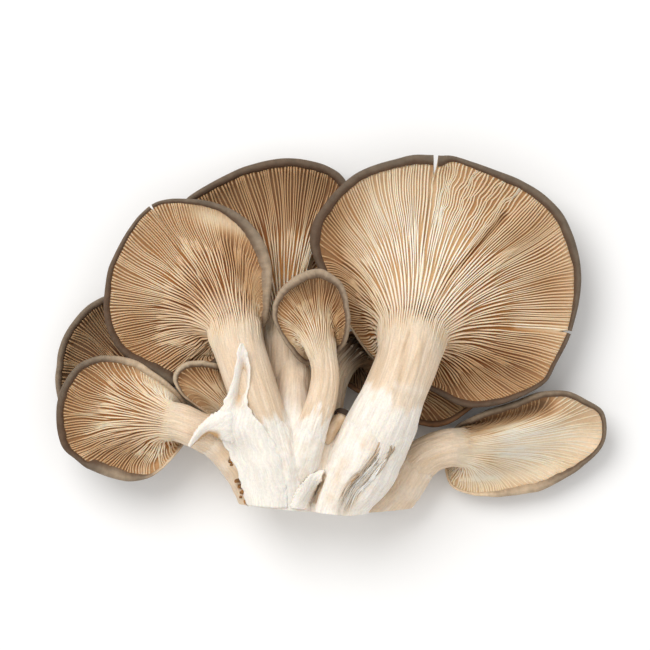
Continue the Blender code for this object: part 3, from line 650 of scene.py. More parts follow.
grow(
    "mushroom_right_large",
    stem=[
        (14.8, -40, 29, 13.2), (19.8, -29.5, 32.5, 12.6), (23.4, -20.6, 33.5, 11.6),
        (26.4, -12.6, 32.5, 11.4), (28.6, -5, 28.5, 11.6), (29.8, 0.6, 22, 12.4),
    ],
    rim=[
        (92.7, 21, 18, 2.6), (88.8, 38.6, 19, 3.3), (83.2, 48.2, 20, 3.4), (71.4, 57, 20, 2.9),
        (58, 62.2, 21, 2.5), (45.8, 66.3, 21, 2.0), (40.4, 66.5, 21.4, 4.0), (36.6, 66.7, 21.6, 3.6),
        (27, 66.2, 22, 3.2), (9, 59.6, 24, 3.0), (-5, 45.4, 26, 3.4), (-8, 35, 27, 3.6),
        (-5, 25, 26.5, 3.0), (0.6, 13, 25, 1.4), (7.2, 2, 23, 0.9), (15.4, -9, 20, 0.9),
        (25.3, -16, 18, 1.4), (37.2, -20.6, 17.5, 2.0), (50, -26.6, 17, 2.6), (64, -25.2, 17, 2.2),
        (78, -18.6, 17, 1.6), (83, -11, 17, 1.4), (89, 2, 17.5, 1.6),
    ],
    crown=(40, 17, 0),
    columns=288,
    plates=62,
    press=1.2,
    collar=False,
    seed=11,
    white=0.45,
    brown=0.45,
    # Painted light over the pale centre; painted shade down the left, at the lower right and along the fold; a
    # painted highlight along the tear by the right notch.
    painted_shading=[
        (27, 40, 32, 26, 21, -0.8), (4, 20, 9, 6, 10, 0.6), (-1, 46, 2, 36, 9, 0.4),
        (60, 52, 74, 40, 10, 0.1), (45, -14, 66, -12, 12, 0.6), (64, 44.6, 37, 13.4, 1.3, 0.7),
        (67, 36, 47, 10, 5, 0.2), (76, 30, 84, 10, 8, 0.15), (3, 46, 10, 52, 9, 0.2),
        (20, -4, 36, 0, 6, -0.3), (69, 3.6, 87, 1.6, 1.2, -0.8),
    ],
    bumps=[
        (24, -18.2, 32, -20.5, 2.0, 0.6, 0.6), (21, -22, 32, -24, 1.4, -0.3, 0.3),
        (27, -4, 25, -17, 1.2, -0.7, -0.5), (32, -3, 30, -15, 1.3, 0.6, 0),
        (19, -6, 15, -22, 1.6, -0.4, -0.4), (31.5, -7, 28, -17, 0.6, -0.5, -0.7),
        (24, -2, 22, -12, 0.8, -0.5, -0.5), (36, -6, 33, -16, 0.8, -0.4, -0.4),
        (28.4, 1, 26.6, -6, 0.5, -0.6, -0.9), (14, -32, 22, -27, 2.6, 0.0, 0.5),
    ],
    margins=[(-4, 38, 20, -0.6), (8, 1, 12, 0.9), (55, -27, 22, -0.6), (86, -14, 14, -0.4)],
    notches=[(38.6, 66.8, 1.3, 5.0), (88, 1.4, 0.8, 3.4)],
    crimps=[(58, 62, 19)],
    folds=[(64, 44.6, 37, 13.4, 1.3, -0.8), (72, 36, 47, 11, 3.0, 0.6), (30, 50, 31, 20, 5.0, 0.8)],
    bare=[(-7, 58, 27, 75, 9), (98, 20, 90, 52, 9), (90, -18, 98, 8, 8)],
)


# The fan at the left, the second largest. Its right margin is rolled in as a broad band.
grow(
    "mushroom_left_large",
    stem=[
        (-23, -38.7, 32, 8.6), (-25.8, -30, 34, 8.9), (-28.6, -21, 34.5, 9.0), (-31.3, -12.5, 33.5, 9.2),
        (-33.9, -4, 30.5, 9.5), (-35.6, 3.4, 25.5, 9.5),
    ],
    rim=[
        (-21.9, 18.7, 34, 3.4), (-22.2, 27, 34.5, 4.0), (-26.8, 37.9, 33, 4.4), (-39.4, 47.7, 30, 2.6),
        (-59.4, 50.2, 28, 1.5), (-71, 44.2, 27, 1.4), (-80.8, 28.3, 26, 1.8), (-84, 14.6, 25, 2.2),
        (-82.8, 2, 24, 2.4), (-77.1, -7.2, 23, 2.8), (-66, -14.4, 23, 4.0), (-57, -19, 21, 4.4),
        (-45, -12, 18, 2.2), (-37, -7.6, 18.5, 2.2), (-30, -4.2, 20.5, 2.2), (-25, 0.6, 26, 2.2),
        (-22.6, 9, 31, 2.6),
    ],
    crown=(-52, 19, 13),
    columns=240,
    plates=46,
    seed=21,
    white=0.3,
    brown=0.66,
    painted_shading=[
        (-38, 34, -28, 16, 5.0, 0.4), (-46, 44, -34, 40, 4, -0.4), (-60, 30, -72, 10, 12, -0.08),
        (-48, 18, -70, 4, 7, 0.2), (-40, -2, -62, -10, 6, 0.1),
    ],
    # The last spot is painted light, on the margin where it lies deep in shade between the fans below.
    margins=[(-22, 16, 22, 0.8), (-84, 6, 30, -0.7), (-60, -16, 10, 0.4)],
    notches=[(-66.4, 47.4, 0.7, 1.2)],
    bare=[(-50, 46.5, -30, 37.5, 4), (-28, 22, -27, 8, 3.0)],
)


# The fan behind the two large ones. Little light reaches it, and its gills are painted a deeper brown as shade.
grow(
    "mushroom_back",
    stem=[
        (-14.5, -36, 15, 8.0), (-15.5, -28, 16.5, 8.2), (-16.3, -19, 17, 8.3), (-16.8, -10, 16.5, 8.3),
        (-16.9, -2, 15, 8.5), (-16.9, 5, 12.5, 9.0),
    ],
    rim=[
        (1, 29, 10, 2.6), (4.4, 40, 11, 2.8), (7.6, 51, 12, 3.0), (3.4, 60, 12.5, 3.0),
        (-7, 64.6, 12.5, 3.0), (-18.3, 65.6, 12.5, 3.0), (-31.4, 63, 12.5, 3.0), (-46, 56.2, 12, 2.6),
        (-55, 49.4, 11, 2.2), (-53.5, 39, 9.5, 2.0), (-47, 28, 9, 2.0), (-38, 17, 9, 2.0),
        (-30.5, 6.5, 8, 2.0), (-25, -1.6, 4.5, 2.0), (-17, -4.6, 2.8, 2.0), (-9.4, -2.4, 4.5, 2.0),
        (-4, 5, 8, 2.0), (-0.6, 16, 10, 2.0),
    ],
    crown=(-22, 30, 0),
    columns=200,
    plates=42,
    press=0.9,
    collar=False,
    seed=31,
    white=0.25,
    brown=0.9,
    painted_shading=[(-48, 46, -6, 58, 9, 0.2), (-20, 16, -13, 32, 9, -0.6)],
    margins=[(-18, 66, 44, -0.35)],
)


# The spoon-shaped small one in front. Its margin is thick and pale.
grow(
    "mushroom_front_small",
    stem=[
        (-8.4, -38, 33.5, 5.8), (-6.2, -31, 34.4, 5.6), (-3.8, -24, 34.5, 5.4), (-2.5, -16, 35, 5.1),
        (-3.0, -9, 34.5, 5.0), (-4.6, -2.6, 32.5, 5.4),
    ],
    rim=[
        (6.8, 5.4, 40, 1.8), (5.8, 13.4, 40, 2.0), (3.1, 20.1, 39.5, 2.6), (-3.6, 24.2, 39, 3.3),
        (-10.9, 22.9, 38.5, 3.2), (-17, 18.9, 38, 2.8), (-21, 12.8, 38, 2.2), (-21.4, 6.5, 37.5, 1.7),
        (-18.9, 0.6, 36, 1.4), (-14.6, -6.2, 33.5, 1.8), (-10.4, -10.4, 29.5, 1.8), (-4, -11, 26.4, 1.8),
        (1.8, -8.2, 29, 1.8), (5.4, -2.6, 36.5, 1.8),
    ],
    crown=(-7.2, 8.7, 24),
    columns=160,
    plates=38,
    seed=41,
    white=0.3,
    brown=0.78,
    lip_tone=linear(150, 132, 112),
    depth=1.0,
    painted_shading=[(-14, 18, 2, 18, 4, 0.5), (3, 12, 2, 0, 4, 0.3), (-6, 4, -5, -6, 5, -0.5), (-17, 6, -12, -4, 4, -0.2)],
    margins=[(-14, 20, 14, 0.45)],
    bare=[(-17.6, -1, -13.6, -7, 2.6)],
    packed=0.42,
)


# The fan at the lower left, on a stem that leaves the butt sideways.
grow(
    "mushroom_left_low",
    stem=[
        (-39.5, -39.6, 27.3, 6.6), (-45, -36.6, 28.2, 7.2), (-49, -34.8, 28.6, 7.0),
        (-53, -33.2, 28.6, 7.0), (-57, -31.9, 27.8, 7.0), (-60.5, -31, 26.2, 7.0),
    ],
    rim=[
        (-50.5, -33, 18.6, 1.8), (-52.6, -26.5, 20.6, 1.8), (-57.8, -19.2, 26.7, 1.8),
        (-65.2, -13.6, 27.7, 2.2), (-73.4, -8.8, 27.7, 2.6), (-84.5, -7.2, 27.2, 2.4),
        (-93.8, -11.2, 26.7, 2.4), (-100, -20.9, 26.2, 2.6), (-101.6, -31, 25.7, 2.6),
        (-100, -40, 25.2, 2.6), (-95, -45.4, 24.2, 2.0), (-91.4, -48.6, 23.6, 2.2),
        (-88.6, -49.8, 23.4, 4.0), (-82, -52.4, 22.6, 4.2), (-74.6, -53.8, 22.2, 3.2),
        (-66, -52, 22.2, 1.2), (-58, -44.6, 21.7, 0.9), (-53.4, -38.6, 19, 1.8),
    ],
    crown=(-80, -29, 14.5),
    columns=200,
    plates=34,
    collar=False,
    seed=51,
    white=-0.3,
    brown=0.6,
    depth=0.95,
    painted_shading=[
        (-92, -14, -98, -34, 8, 0.2), (-76, -44, -84, -46, 6, 0.3), (-70, -12, -58, -22, 5, -0.45),
        (-60, -44, -70, -50, 5, -0.2),
    ],
    margins=[
        (-70, -11, 13, 1.1), (-58, -20, 9, 0.8), (-100, -38, 14, -0.7), (-80, -53, 8, 0.6),
        (-60, -47, 8, 2.0),
    ],
    bare=[(-66, -15, -57, -24, 3.2)],
)


# The one behind at the far left, mostly under the two fans in front of it.
grow(
    "mushroom_left_back",
    stem=[
        (-44, -34.5, 8.4, 5.0), (-48, -32.6, 8.4, 5.0), (-52.4, -30.2, 8.4, 5.0), (-57, -27.6, 8.6, 5.0),
        (-61.4, -25, 9, 5.0), (-65.3, -22.6, 9.4, 5.0),
    ],
    rim=[
        (-68, -4, 10, 2.4), (-72, 5.6, 10.5, 2.4), (-78, 12.2, 11.5, 2.4), (-84.5, 14.4, 12.5, 2.4),
        (-93.8, 8, 13, 2.4), (-100.5, -2.8, 13, 2.4), (-102.6, -14.6, 12.5, 2.4), (-101.6, -25.2, 11, 2.4),
        (-97, -33, 9, 2.2), (-86, -36.8, 7.5, 2.0), (-75, -35.8, 6.5, 2.0), (-66, -33.2, 4.4, 2.0),
        (-60.6, -29.4, 2.4, 2.0), (-58.8, -23.6, 1.9, 2.0), (-60, -17, 4.5, 2.0), (-62.6, -10.4, 7.4, 2.0),
    ],
    crown=(-82, -12, 0),
    columns=160,
    plates=34,
    press=0.8,
    collar=False,
    seed=61,
    white=-0.3,
    # A brown past 1 is painted shade: this cap lies under the fans in front of it.
    brown=1.5,
    margins=[(-92, 8, 16, 0.1), (-103, -16, 12, 0.2)],
)


# The tiny fan that fills the gap between the fans on the left.
grow(
    "mushroom_left_tiny",
    stem=[
        (-33.6, -34.6, 18, 3.7), (-34.7, -31.6, 18.8, 3.7), (-36.4, -28.8, 19.8, 3.8),
        (-38.8, -26.4, 20.6, 4.0),
    ],
    rim=[
        (-33.4, -19, 17.6, 1.6), (-37.4, -13, 20, 1.8), (-44, -9.8, 26, 2.2), (-51.8, -9.2, 28.5, 2.4),
        (-56.6, -12, 29, 2.0), (-58.2, -16.6, 28.6, 1.8), (-55.4, -21.6, 27.4, 1.0),
        (-50.6, -25.6, 25.4, 0.7), (-44.4, -29.8, 21, 0.7), (-39.6, -31.4, 16, 0.8),
        (-35.6, -29.4, 13.8, 1.6), (-32.6, -24.8, 14.6, 1.6),
    ],
    crown=(-46.4, -19, 18.6),
    columns=120,
    plates=32,
    collar=False,
    seed=71,
    white=-0.3,
    brown=0.8,
    lip_tone=linear(186, 168, 144),
    depth=0.8,
    painted_shading=[(-38, -28, -46, -30, 4, -0.3)],
    margins=[(-46, -29, 9, 2.0)],
    bare=[(-52, -20.6, -42, -28.6, 4.4)],
)


# The one at the lower right. Its stem curves out of the butt and its cap lies along the table.
grow(
    "mushroom_right_low",
    stem=[
        (30, -49.4, 12.5, 7.6), (32.8, -46.4, 13.6, 7.4), (36.4, -44, 14.4, 7.2), (40.4, -42.4, 14.4, 7.1),
        (44.6, -41.6, 13.6, 7.1), (48.8, -41.4, 12.2, 7.2),
    ],
    rim=[
        (102.2, -35, 12.5, 1.6), (100.6, -28, 14, 1.8), (93, -22.9, 15.5, 2.0), (85.3, -20.4, 16, 2.2),
        (77.1, -21, 15, 2.4), (69.7, -23.8, 13, 2.6), (60.5, -26.8, 12.5, 2.6), (52, -30.4, 12, 2.2),
        (46.6, -33.4, 8.5, 1.8), (43.6, -38, 4.4, 1.2), (42.8, -43.6, 3.4, 1.0), (42.4, -50, 5.6, 0.9),
        (44.8, -56.4, 9, 0.9), (53.1, -59.6, 9.5, 1.2), (66, -59.8, 9, 2.8), (79, -57.4, 9, 3.2),
        (91.9, -50, 10, 2.2), (100.4, -42.2, 11, 1.5),
    ],
    crown=(72, -41, 0),
    columns=180,
    plates=44,
    press=1.0,
    collar=False,
    seed=81,
    white=0.0,
    brown=0.1,
    lip_tone=linear(122, 106, 88),
    depth=0.45,
    # Painted shade, deep in the recess along the fold under the upper margin and lighter at two spots.
    painted_shading=[(47, -35, 78, -26, 4.0, 1.3), (52, -38, 60, -46, 6, 0.25), (80, -26, 96, -32, 4, 0.25)],
    margins=[(44, -52, 8, 2.2), (54, -59.4, 7, 1.6), (72, -59, 14, 1.1), (66, -25, 18, 0.25)],
    folds=[(46, -36, 76, -26.6, 2.6, -2.4), (52, -40, 84, -31, 3.4, 1.6)],
    bare=[(66, -41, 96, -37, 11), (54, -52, 82, -50, 4)],
)


# The one behind the thick stem. Its cap shows on both sides of that stem.
grow(
    "mushroom_hidden",
    stem=[
        (-3, -35, 14.5, 4.4), (-0.4, -28.6, 14.8, 4.1), (0.9, -22, 15, 4.0), (2.2, -15.6, 14.6, 4.1),
        (4.4, -10.6, 13.4, 4.5), (7.6, -7, 11.2, 5.0),
    ],
    rim=[
        (55, -24, 8.5, 1.8), (52.6, -18.2, 6.6, 1.8), (44, -12.4, 5.6, 1.8), (32, -7.4, 5.4, 1.8),
        (21, -2, 5.8, 1.8), (13.4, 1, 6.8, 1.8), (6.4, 1.6, 6.8, 1.8), (1.2, -1.4, 5.4, 1.6),
        (-1.4, -6.4, 4, 1.4), (-0.6, -12, 3, 1.4), (3.2, -16.4, 5, 1.6), (6.8, -19.6, 8, 1.8),
        (11.4, -22.2, 9.5, 1.8), (19, -26.4, 10, 1.8), (26.6, -30.6, 10, 2.0), (34, -33.6, 10, 2.2),
        (41.4, -33.6, 10, 2.2), (49.4, -29.4, 9.4, 2.0),
    ],
    crown=(29, -18.6, 0),
    columns=150,
    plates=32,
    press=0.7,
    straight=0.12,
    seed=91,
    white=0.0,
    brown=0.9,
    lip_tone=linear(132, 96, 66),
    depth=0.9,
    down=-0.5,
    # Painted shade in the pit behind the thick stem, over the gills there and the top of the stem.
    painted_shading=[(9, -3, 12, -15, 6, 1.3)],
)


# The butt: the stems' feet grown together under one coat of white felt, and cut off flat by a knife.
# Its skin is torn at the left, where a flap of felt stands up and a branch of it hangs over the low stem.
LOBES = [
    # Points of x, y, z, radius from the top down; how white the felt is, or how white at the top and the foot.
    # the thickest stem, of the largest mushroom
    ([
        (23, -21.8, 33.2, 10.4), (19.9, -29.5, 32.6, 12.4), (16, -38, 30.5, 13.1), (10.4, -50, 28, 12.9),
        (4, -61, 26, 10.5), (1, -72, 24, 10),
    ], 0.95),
    # the left fan's stem
    ([
        (-26.3, -28, 34, 8.2), (-23.6, -36.5, 32.6, 9.3), (-21.6, -45, 31, 10.2), (-19.4, -56, 28, 10.6),
        (-18, -72, 24, 11),
    ], 1.0),
    # the small front one's
    ([
        (-6.4, -31.5, 34.2, 5.0), (-8.2, -37.5, 33.6, 6.1), (-10.4, -45, 32, 6.2), (-13.4, -54, 29, 6),
        (-15, -66, 26, 6),
    ], 1.0),
    # the back fan's foot
    ([
        (-15, -31, 16, 7.6), (-14.4, -37, 16, 8.6), (-12.8, -46, 17, 10.4), (-11, -56, 16, 11),
        (-8, -72, 14, 11),
    ], 0.9),
    # the lower left one's
    ([
        (-49, -34.8, 28.6, 6.2), (-45, -36.6, 28.2, 6.8), (-40, -39.4, 27.2, 7.7), (-35, -43.6, 26, 8.6),
        (-29.5, -51, 24, 9.0), (-22, -68, 20.5, 9.4),
    ], 0.12),
    # the far left one's
    ([
        (-48, -32.6, 8.4, 4.4), (-43, -35.4, 8.6, 5.4), (-36, -40, 10, 7), (-24, -52, 12, 9),
        (-18, -70, 13, 9.4),
    ], 0.2),
    # the tiny one's
    ([(-35.4, -30.6, 19.2, 3.0), (-33, -35, 18.4, 4.2), (-30.6, -42, 20, 6), (-24, -54, 20, 8)], 0.8),
    # the lower right one's
    ([
        (34.6, -45, 14, 6.8), (30.4, -49.2, 12.8, 7.9), (25.3, -57, 12.4, 8.1), (17.4, -66, 12.4, 8.6),
        (12, -74, 12.4, 9),
    ], 0.1),
    # the hidden one's
    ([
        (-0.6, -31.5, 14.5, 3.8), (-1.6, -36, 14.5, 5.2), (-0.6, -43, 14, 7), (2, -60, 13, 9.5),
        (2, -72, 13, 9.5),
    ], 0.4),
    # the pinhead's
    ([
        (4.4, -30.2, 25.4, 1.5), (1.6, -33.8, 26, 2.5), (-2.4, -39.4, 27.2, 3.4), (-5, -46, 28, 4.6),
        (-6, -53, 28, 5),
    ], 0.45),
    # a shoulder of bare flesh over the back fan's stem, white at its foot
    ([
        (-14, -8, 18, 5.4), (-14, -15, 21.6, 6.4), (-14.2, -22, 24.4, 6.8), (-14.6, -28.5, 26.5, 7),
        (-15, -36, 28, 7), (-15.4, -48, 30, 6.2),
    ], (-0.6, 1.9)),
    # the foot of the block, in two rows
    ([(-26, -50, 6.8, 9), (-6, -52, 6.8, 10), (14, -55, 6.8, 9.6)], 0.8),
    ([(-26, -61, 6.8, 8.6), (-6, -62, 6.8, 9.6), (14, -62, 6.8, 9.4)], 0.8),
]
CLAY_VOXEL = 0.55 * MM
clay_points, clay_faces = [], []
lobe_angles = np.linspace(0, 2 * math.pi, 28, endpoint=False)
for spine, _ in LOBES:
    path = trace(spine, np.linspace(0, 1, 14))
    headings = np.gradient(path[:, :3], axis=0)
    rings = path[:, None, :3] + path[:, 3:, None] * rays_round(headings, lobe_angles)
    add_tube(clay_points, clay_faces, rings, [path[0, :3] - 0.3 * unit(headings[0]), path[-1, :3]])
clay_mesh = bpy.data.meshes.new("butt_clay")
clay_mesh.from_pydata((np.vstack(clay_points) * MM).tolist(), [], clay_faces)
clay = bpy.data.objects.new("butt_clay", clay_mesh)
bpy.context.scene.collection.objects.link(clay)
bpy.context.view_layer.objects.active = clay
clay.select_set(True)
fuse = clay.modifiers.new("fuse", "REMESH")
fuse.mode = "VOXEL"
fuse.voxel_size = CLAY_VOXEL
soften = clay.modifiers.new("soften", "SMOOTH")
soften.factor = 0.5
soften.iterations = 8
for step in ("fuse", "soften"):
    bpy.ops.object.modifier_apply(modifier=step)

# Each spot of the surface belongs to the stem whose wall is nearest; fibres run along that stem.
count = len(clay.data.vertices)
spots = np.empty(count * 3)
clay.data.vertices.foreach_get("co", spots)
spots = spots.reshape(-1, 3) / MM
normals = np.empty(count * 3)
clay.data.vertices.foreach_get("normal", normals)
normals = normals.reshape(-1, 3)
nearest = np.full(count, 1e9)
grain = np.zeros((count, 3))
lengthwise = np.zeros(count)
angle_at = np.zeros(count)
whiteness = np.zeros(count)
for number, (spine, how_white) in enumerate(LOBES):
    path = trace(spine, np.linspace(0, 1, 60))
    headings, sides, fronts = stem_axes(np.gradient(path[:, :3], axis=0))
    walls = np.linalg.norm(spots[:, None] - path[None, :, :3], axis=2) - path[None, :, 3]
    which = walls.argmin(axis=1)
    closer = walls.min(axis=1) < nearest
    nearest = np.where(closer, walls.min(axis=1), nearest)
    run = np.concatenate([[0], np.cumsum(np.linalg.norm(np.diff(path[:, :3], axis=0), axis=1))])
    aside = spots - path[which, :3]
    turn = np.arctan2((aside * fronts[which]).sum(axis=1), (aside * sides[which]).sum(axis=1))
    along_mm = run[which] + (aside * headings[which]).sum(axis=1)
    radius = path[which, 3]
    own = [np.cos(turn) * radius, np.sin(turn) * radius, ALONG_FIBRES * along_mm + 20.0 * number]
    grain = np.where(closer[:, None], np.stack(own, axis=1), grain)
    angle_at = np.where(closer, turn / (2 * math.pi) + 0.5, angle_at)
    lengthwise = np.where(closer, along_mm, lengthwise)
    top_white, foot_white = np.broadcast_to(how_white, 2)
    whiteness = np.where(closer, top_white + (foot_white - top_white) * run[which] / run[-1], whiteness)

fibre = 0.6 * field(angle_at, lengthwise / 60, 44, 6, 301) + 0.4 * field(angle_at, lengthwise / 60, 90, 12, 302)
lumps = np.array([noise.noise(Vector(p * 0.16)) for p in spots])
small_lumps = np.array([noise.noise(Vector(p * 0.5 + 40)) for p in spots])


def marks(*lines):
    """How strongly the upper side is marked at each spot by lines of x, y, x, y, reach, amount."""
    return sum(amount * around_line(spots, *line) for *line, amount in lines) * (normals[:, 2] > 0)


SCAR_TAN, SHADOW_GAP_TAN = linear(176, 158, 134), linear(205, 170, 126)
HOLE_BROWN, BEIGE = linear(112, 74, 40), linear(226, 196, 158)
# Where the outer felt is torn off the thickest stem, from the top down, and how wide.
SCAR = [(21.2, -36.2), (19.4, -41.1), (16.8, -45.4), (12.2, -51.1), (7.8, -56.5), (4.6, -64)]
SCAR_REACH = 2.9
scar = np.max([marks((*a, *b, SCAR_REACH, 1)) for a, b in zip(SCAR, SCAR[1:])], axis=0)
holes = marks((-36.6, -45.8, -36.6, -45.8, 0.8, 1), (-33.4, -55.6, -33.4, -55.6, 1.3, 1))
# Painted shadow in the gap along the torn strip's right edge: a shallow dent, tinted tan below.
shadow_gap = marks((-2.6, -51.4, -6.4, -61, 0.7, 1))
crease = marks((-15.8, -34, -15.6, -52, 1.0, 1))
ridges = marks(
    (28, -60, 28, -60, 1.6, 1), (31.5, -57, 31.5, -57, 1.4, -0.7), (24.6, -38, 12, -61, 1.3, 1),
    (16.6, -40, 3, -60, 1.2, 0.9), (20.6, -33.4, 20.6, -33.4, 1.4, 0.8),
)
push = 0.2 * fibre + 0.45 * lumps + 0.16 * small_lumps - 1.5 * scar * (1 + 0.6 * fibre)
push += 0.5 * ridges - 2.0 * np.minimum(holes, 1) - 0.8 * shadow_gap + 0.4 * crease
spots = spots + push[:, None] * normals

tint = blend(CREAM, STRAW, np.clip(0.35 + 0.5 * fibre + 0.2 * small_lumps, 0, 1) * 0.6)
white = np.clip(whiteness + 0.4 * lumps + 0.3 * fibre, 0, 1)
tint = blend(tint, FELT_WHITE * (1 + 0.05 * fibre[:, None]), white)
tint = blend(tint, STRAW, 0.16 * np.clip(small_lumps * 2 - 0.2, 0, 1) * white)
tint = blend(tint, SCAR_TAN, np.clip(scar * (0.8 + 0.9 * fibre), 0, 0.9))
# The painted shadow in the gap beside the torn strip.
tint = blend(tint, SHADOW_GAP_TAN, np.clip(0.75 * shadow_gap, 0, 1))
tint = blend(tint, HOLE_BROWN, np.clip(1.3 * holes, 0, 1))
stained = marks((-32, -60, -35, -50, 3.0, 1), (-39, -43, -39, -43, 2.5, 1))
tint = blend(tint, STRAW, 0.6 * np.clip(stained, 0, 1))
for beige in (
    (4, -46, -1, -60, 1.6, 0.45), (-22, -40, -18, -55, 1.2, 0.45), (20, -30, 12, -40, 2.0, 0.45),
    (10.5, -58, 6, -64, 0.8, 0.45),
):
    tint = blend(tint, BEIGE, marks(beige) * (0.7 + 0.8 * fibre))
clay.data.vertices.foreach_set("co", (spots * MM).ravel())
paint(clay.data, tint, grain)

# The knife's two strokes and the flat that the cluster rests on.
knife = bmesh.new()
knife.from_mesh(clay.data)
strokes = [((0, 0, 0.02), (0, 0, -1))]
for start_x, start_y, end_x, end_y in ((-30, -62.6, 6, -66.2), (6, -66.2, 30, -64.2)):
    strokes.append(((start_x, start_y, 0), (end_y - start_y, start_x - end_x, 0)))
for place, outward in strokes:
    everything = knife.verts[:] + knife.edges[:] + knife.faces[:]
    cut = bmesh.ops.bisect_plane(
        knife, geom=everything, plane_co=[p * MM for p in place], plane_no=outward, clear_outer=True
    )
    bmesh.ops.edgeloop_fill(knife, edges=[e for e in cut["geom_cut"] if isinstance(e, bmesh.types.BMEdge)])
bmesh.ops.recalc_face_normals(knife, faces=knife.faces)
knife.to_mesh(clay.data)
knife.free()
clay.name = "butt_felt"
felt = flesh_material("felt_and_fibre", 1100, bump=0.35, roughness=0.8, depth=0.3, fibre=0.6, speckle=0.07)
clay.data.materials.append(felt)
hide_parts("butt")


NEAR_FELT = 8  # a height below this is above the felt, and otherwise above the table


def felt_height(x, y):
    """How high the butt's felt stands above the table at a place that is seen from above."""
    _, place, _, _ = clay.ray_cast(Vector((x * MM, y * MM, 0.2)), Vector((0, 0, -1)))
    return place[2] / MM


def sheet(name, rows, thickness, seed, inner, outer):
    """A torn piece of felt: a thin closed sheet through rows of points, with ragged edges.

    Each row runs across from the left edge to the right one. A point's height is above the table, or above the
    felt beneath it where it is less than NEAR_FELT. inner says how far the felt's white is tinted with the outer
    colour, for the share across and the share down.
    """
    across, down_rows = 30, 90
    lines = []
    for row in rows:
        stood = [(x, y, z + felt_height(x, y) if z < NEAR_FELT else z) for x, y, z in row]
        lines.append(trace(stood, np.linspace(0, 1, across)))
    lines = np.array(lines)
    grid = np.array([trace(lines[:, i], np.linspace(0, 1, down_rows)) for i in range(across)])
    grid = grid.transpose(1, 0, 2)
    u, v = np.meshgrid(np.linspace(0, 1, across), np.linspace(0, 1, down_rows))
    ragged = 0.5 * field(v * 0.98, u * 0, 37, 1, seed) + 0.3 * field(v * 0.98, u * 0, 17, 1, seed + 1)
    width_way = unit(grid[:, -1] - grid[:, 0])[:, None]
    grid = grid + (ragged * (np.exp(-u / 0.08) - np.exp(-(1 - u) / 0.08)))[..., None] * width_way
    strand = field(u * 0.98, v, 22, 5, seed + 2) * 0.6 + field(u * 0.98, v, 40, 8, seed + 3) * 0.4
    facing = unit(np.cross(np.gradient(grid, axis=0), np.gradient(grid, axis=1)))
    facing *= np.sign(facing[..., 2:].mean() + 1e-9)
    grid = grid + (0.16 * strand)[..., None] * facing
    edge_fade = np.minimum(np.minimum(u, 1 - u) / 0.12, 1) ** 0.5
    half = 0.5 * thickness * (0.35 + 0.65 * edge_fade)[..., None]
    top, low = grid + half * facing, grid - half * facing
    points = np.vstack([top.reshape(-1, 3), low.reshape(-1, 3)])
    total = across * down_rows
    index = np.arange(total).reshape(down_rows, across)
    quads = np.stack([index[:-1, :-1], index[:-1, 1:], index[1:, 1:], index[1:, :-1]], axis=-1).reshape(-1, 4)
    faces = quads.tolist() + (total + quads[:, ::-1]).tolist()
    loop = [*index[0], *index[1:, -1], *index[-1, -2::-1], *index[-2:0:-1, 0]]
    faces += [[int(b), int(a), int(total + a), int(total + b)] for a, b in zip(loop, loop[1:] + loop[:1])]
    share_in = np.clip(inner(u, v) + 0.15 * strand, 0, 1)
    colour = blend(FELT_WHITE * (1 + 0.05 * strand[..., None]), outer, share_in)
    colour = np.vstack([colour.reshape(-1, 3), blend(colour, STRAW, 0.5 + 0 * u).reshape(-1, 3)])
    side_mm = np.linalg.norm(np.diff(grid, axis=1), axis=2).cumsum(axis=1)
    side_mm = np.concatenate([np.zeros((down_rows, 1)), side_mm], axis=1)
    down_mm = np.linalg.norm(np.diff(grid, axis=0), axis=2).cumsum(axis=0)
    down_mm = np.concatenate([np.zeros((1, across)), down_mm])
    strands = np.stack([side_mm, seed + 0 * side_mm, ALONG_FIBRES * down_mm], axis=2).reshape(-1, 3)
    return add_mesh(name, points, faces, colour, felt, np.vstack([strands, strands]))


flap = sheet(
    "torn_flap",
    [
        [(-33.4, -2.9, 45.6), (-32.8, -2.6, 45.4), (-32.2, -2.9, 45.2)],
        [(-34.4, -6.4, 45.8), (-33.2, -6.6, 44.8), (-32, -6.6, 44.4), (-30.6, -6.4, 44.8)],
        [(-35, -10.2, 46), (-34, -10.4, 45), (-32.6, -10.6, 42.6), (-31, -10.4, 43), (-29.8, -10, 44.6)],
        [(-36, -15, 45.8), (-34.8, -15, 44.8), (-33, -15.2, 41.6), (-31, -15, 42.2), (-29.5, -14.8, 44.6)],
        [(-37.6, -20, 45), (-36, -20, 44.6), (-33.6, -20, 41.2), (-31.8, -19.8, 41.6), (-30.1, -19.4, 43.8)],
        [(-39.4, -25, 43.2), (-37.4, -24.8, 44.2), (-34.8, -24.4, 43.2), (-32.6, -24, 43.2), (-31, -23.6, 44.2)],
        [(-41, -30, 41), (-39, -29.4, 42.8), (-36, -28.6, 43.4), (-33, -28, 43.6), (-29.6, -27.2, 44.2)],
        [(-40.6, -37, 37.6), (-37.6, -35.6, 40.4), (-34, -34.4, 42.4), (-30.6, -33, 43.4), (-26.2, -31.6, 43.8)],
        [(-37, -44.6, 0.9), (-33.6, -43, 1.2), (-30, -41.4, 1.1), (-26, -39.6, 0.8), (-21.4, -38, -0.1)],
        [(-34, -52.4, 0.8), (-30, -51, 1.1), (-26, -49.2, 1.0), (-22, -47.6, 0.7), (-18, -46, -0.3)],
        [(-32.4, -58, 0.6), (-28, -57.4, 1.1), (-24, -56.4, 0.7), (-20.4, -55.4, 0.9), (-16.6, -54.4, -0.2)],
        [(-31, -62.4, 0.3), (-27, -62.6, 1.0), (-23.6, -62.8, 0.5), (-20, -63.0, 1.0), (-16, -63.0, 0.0)],
    ],
    thickness=1.1,
    seed=401,
    # The tan down the flap's hollow is painted shade.
    inner=lambda u, v: (
        0.85 * np.exp(-(((u - 0.62) / 0.22) ** 2)) * smooth(0.08, 0.16, v) * (1 - smooth(0.33, 0.42, v))
    ),
    outer=linear(206, 172, 130),
)
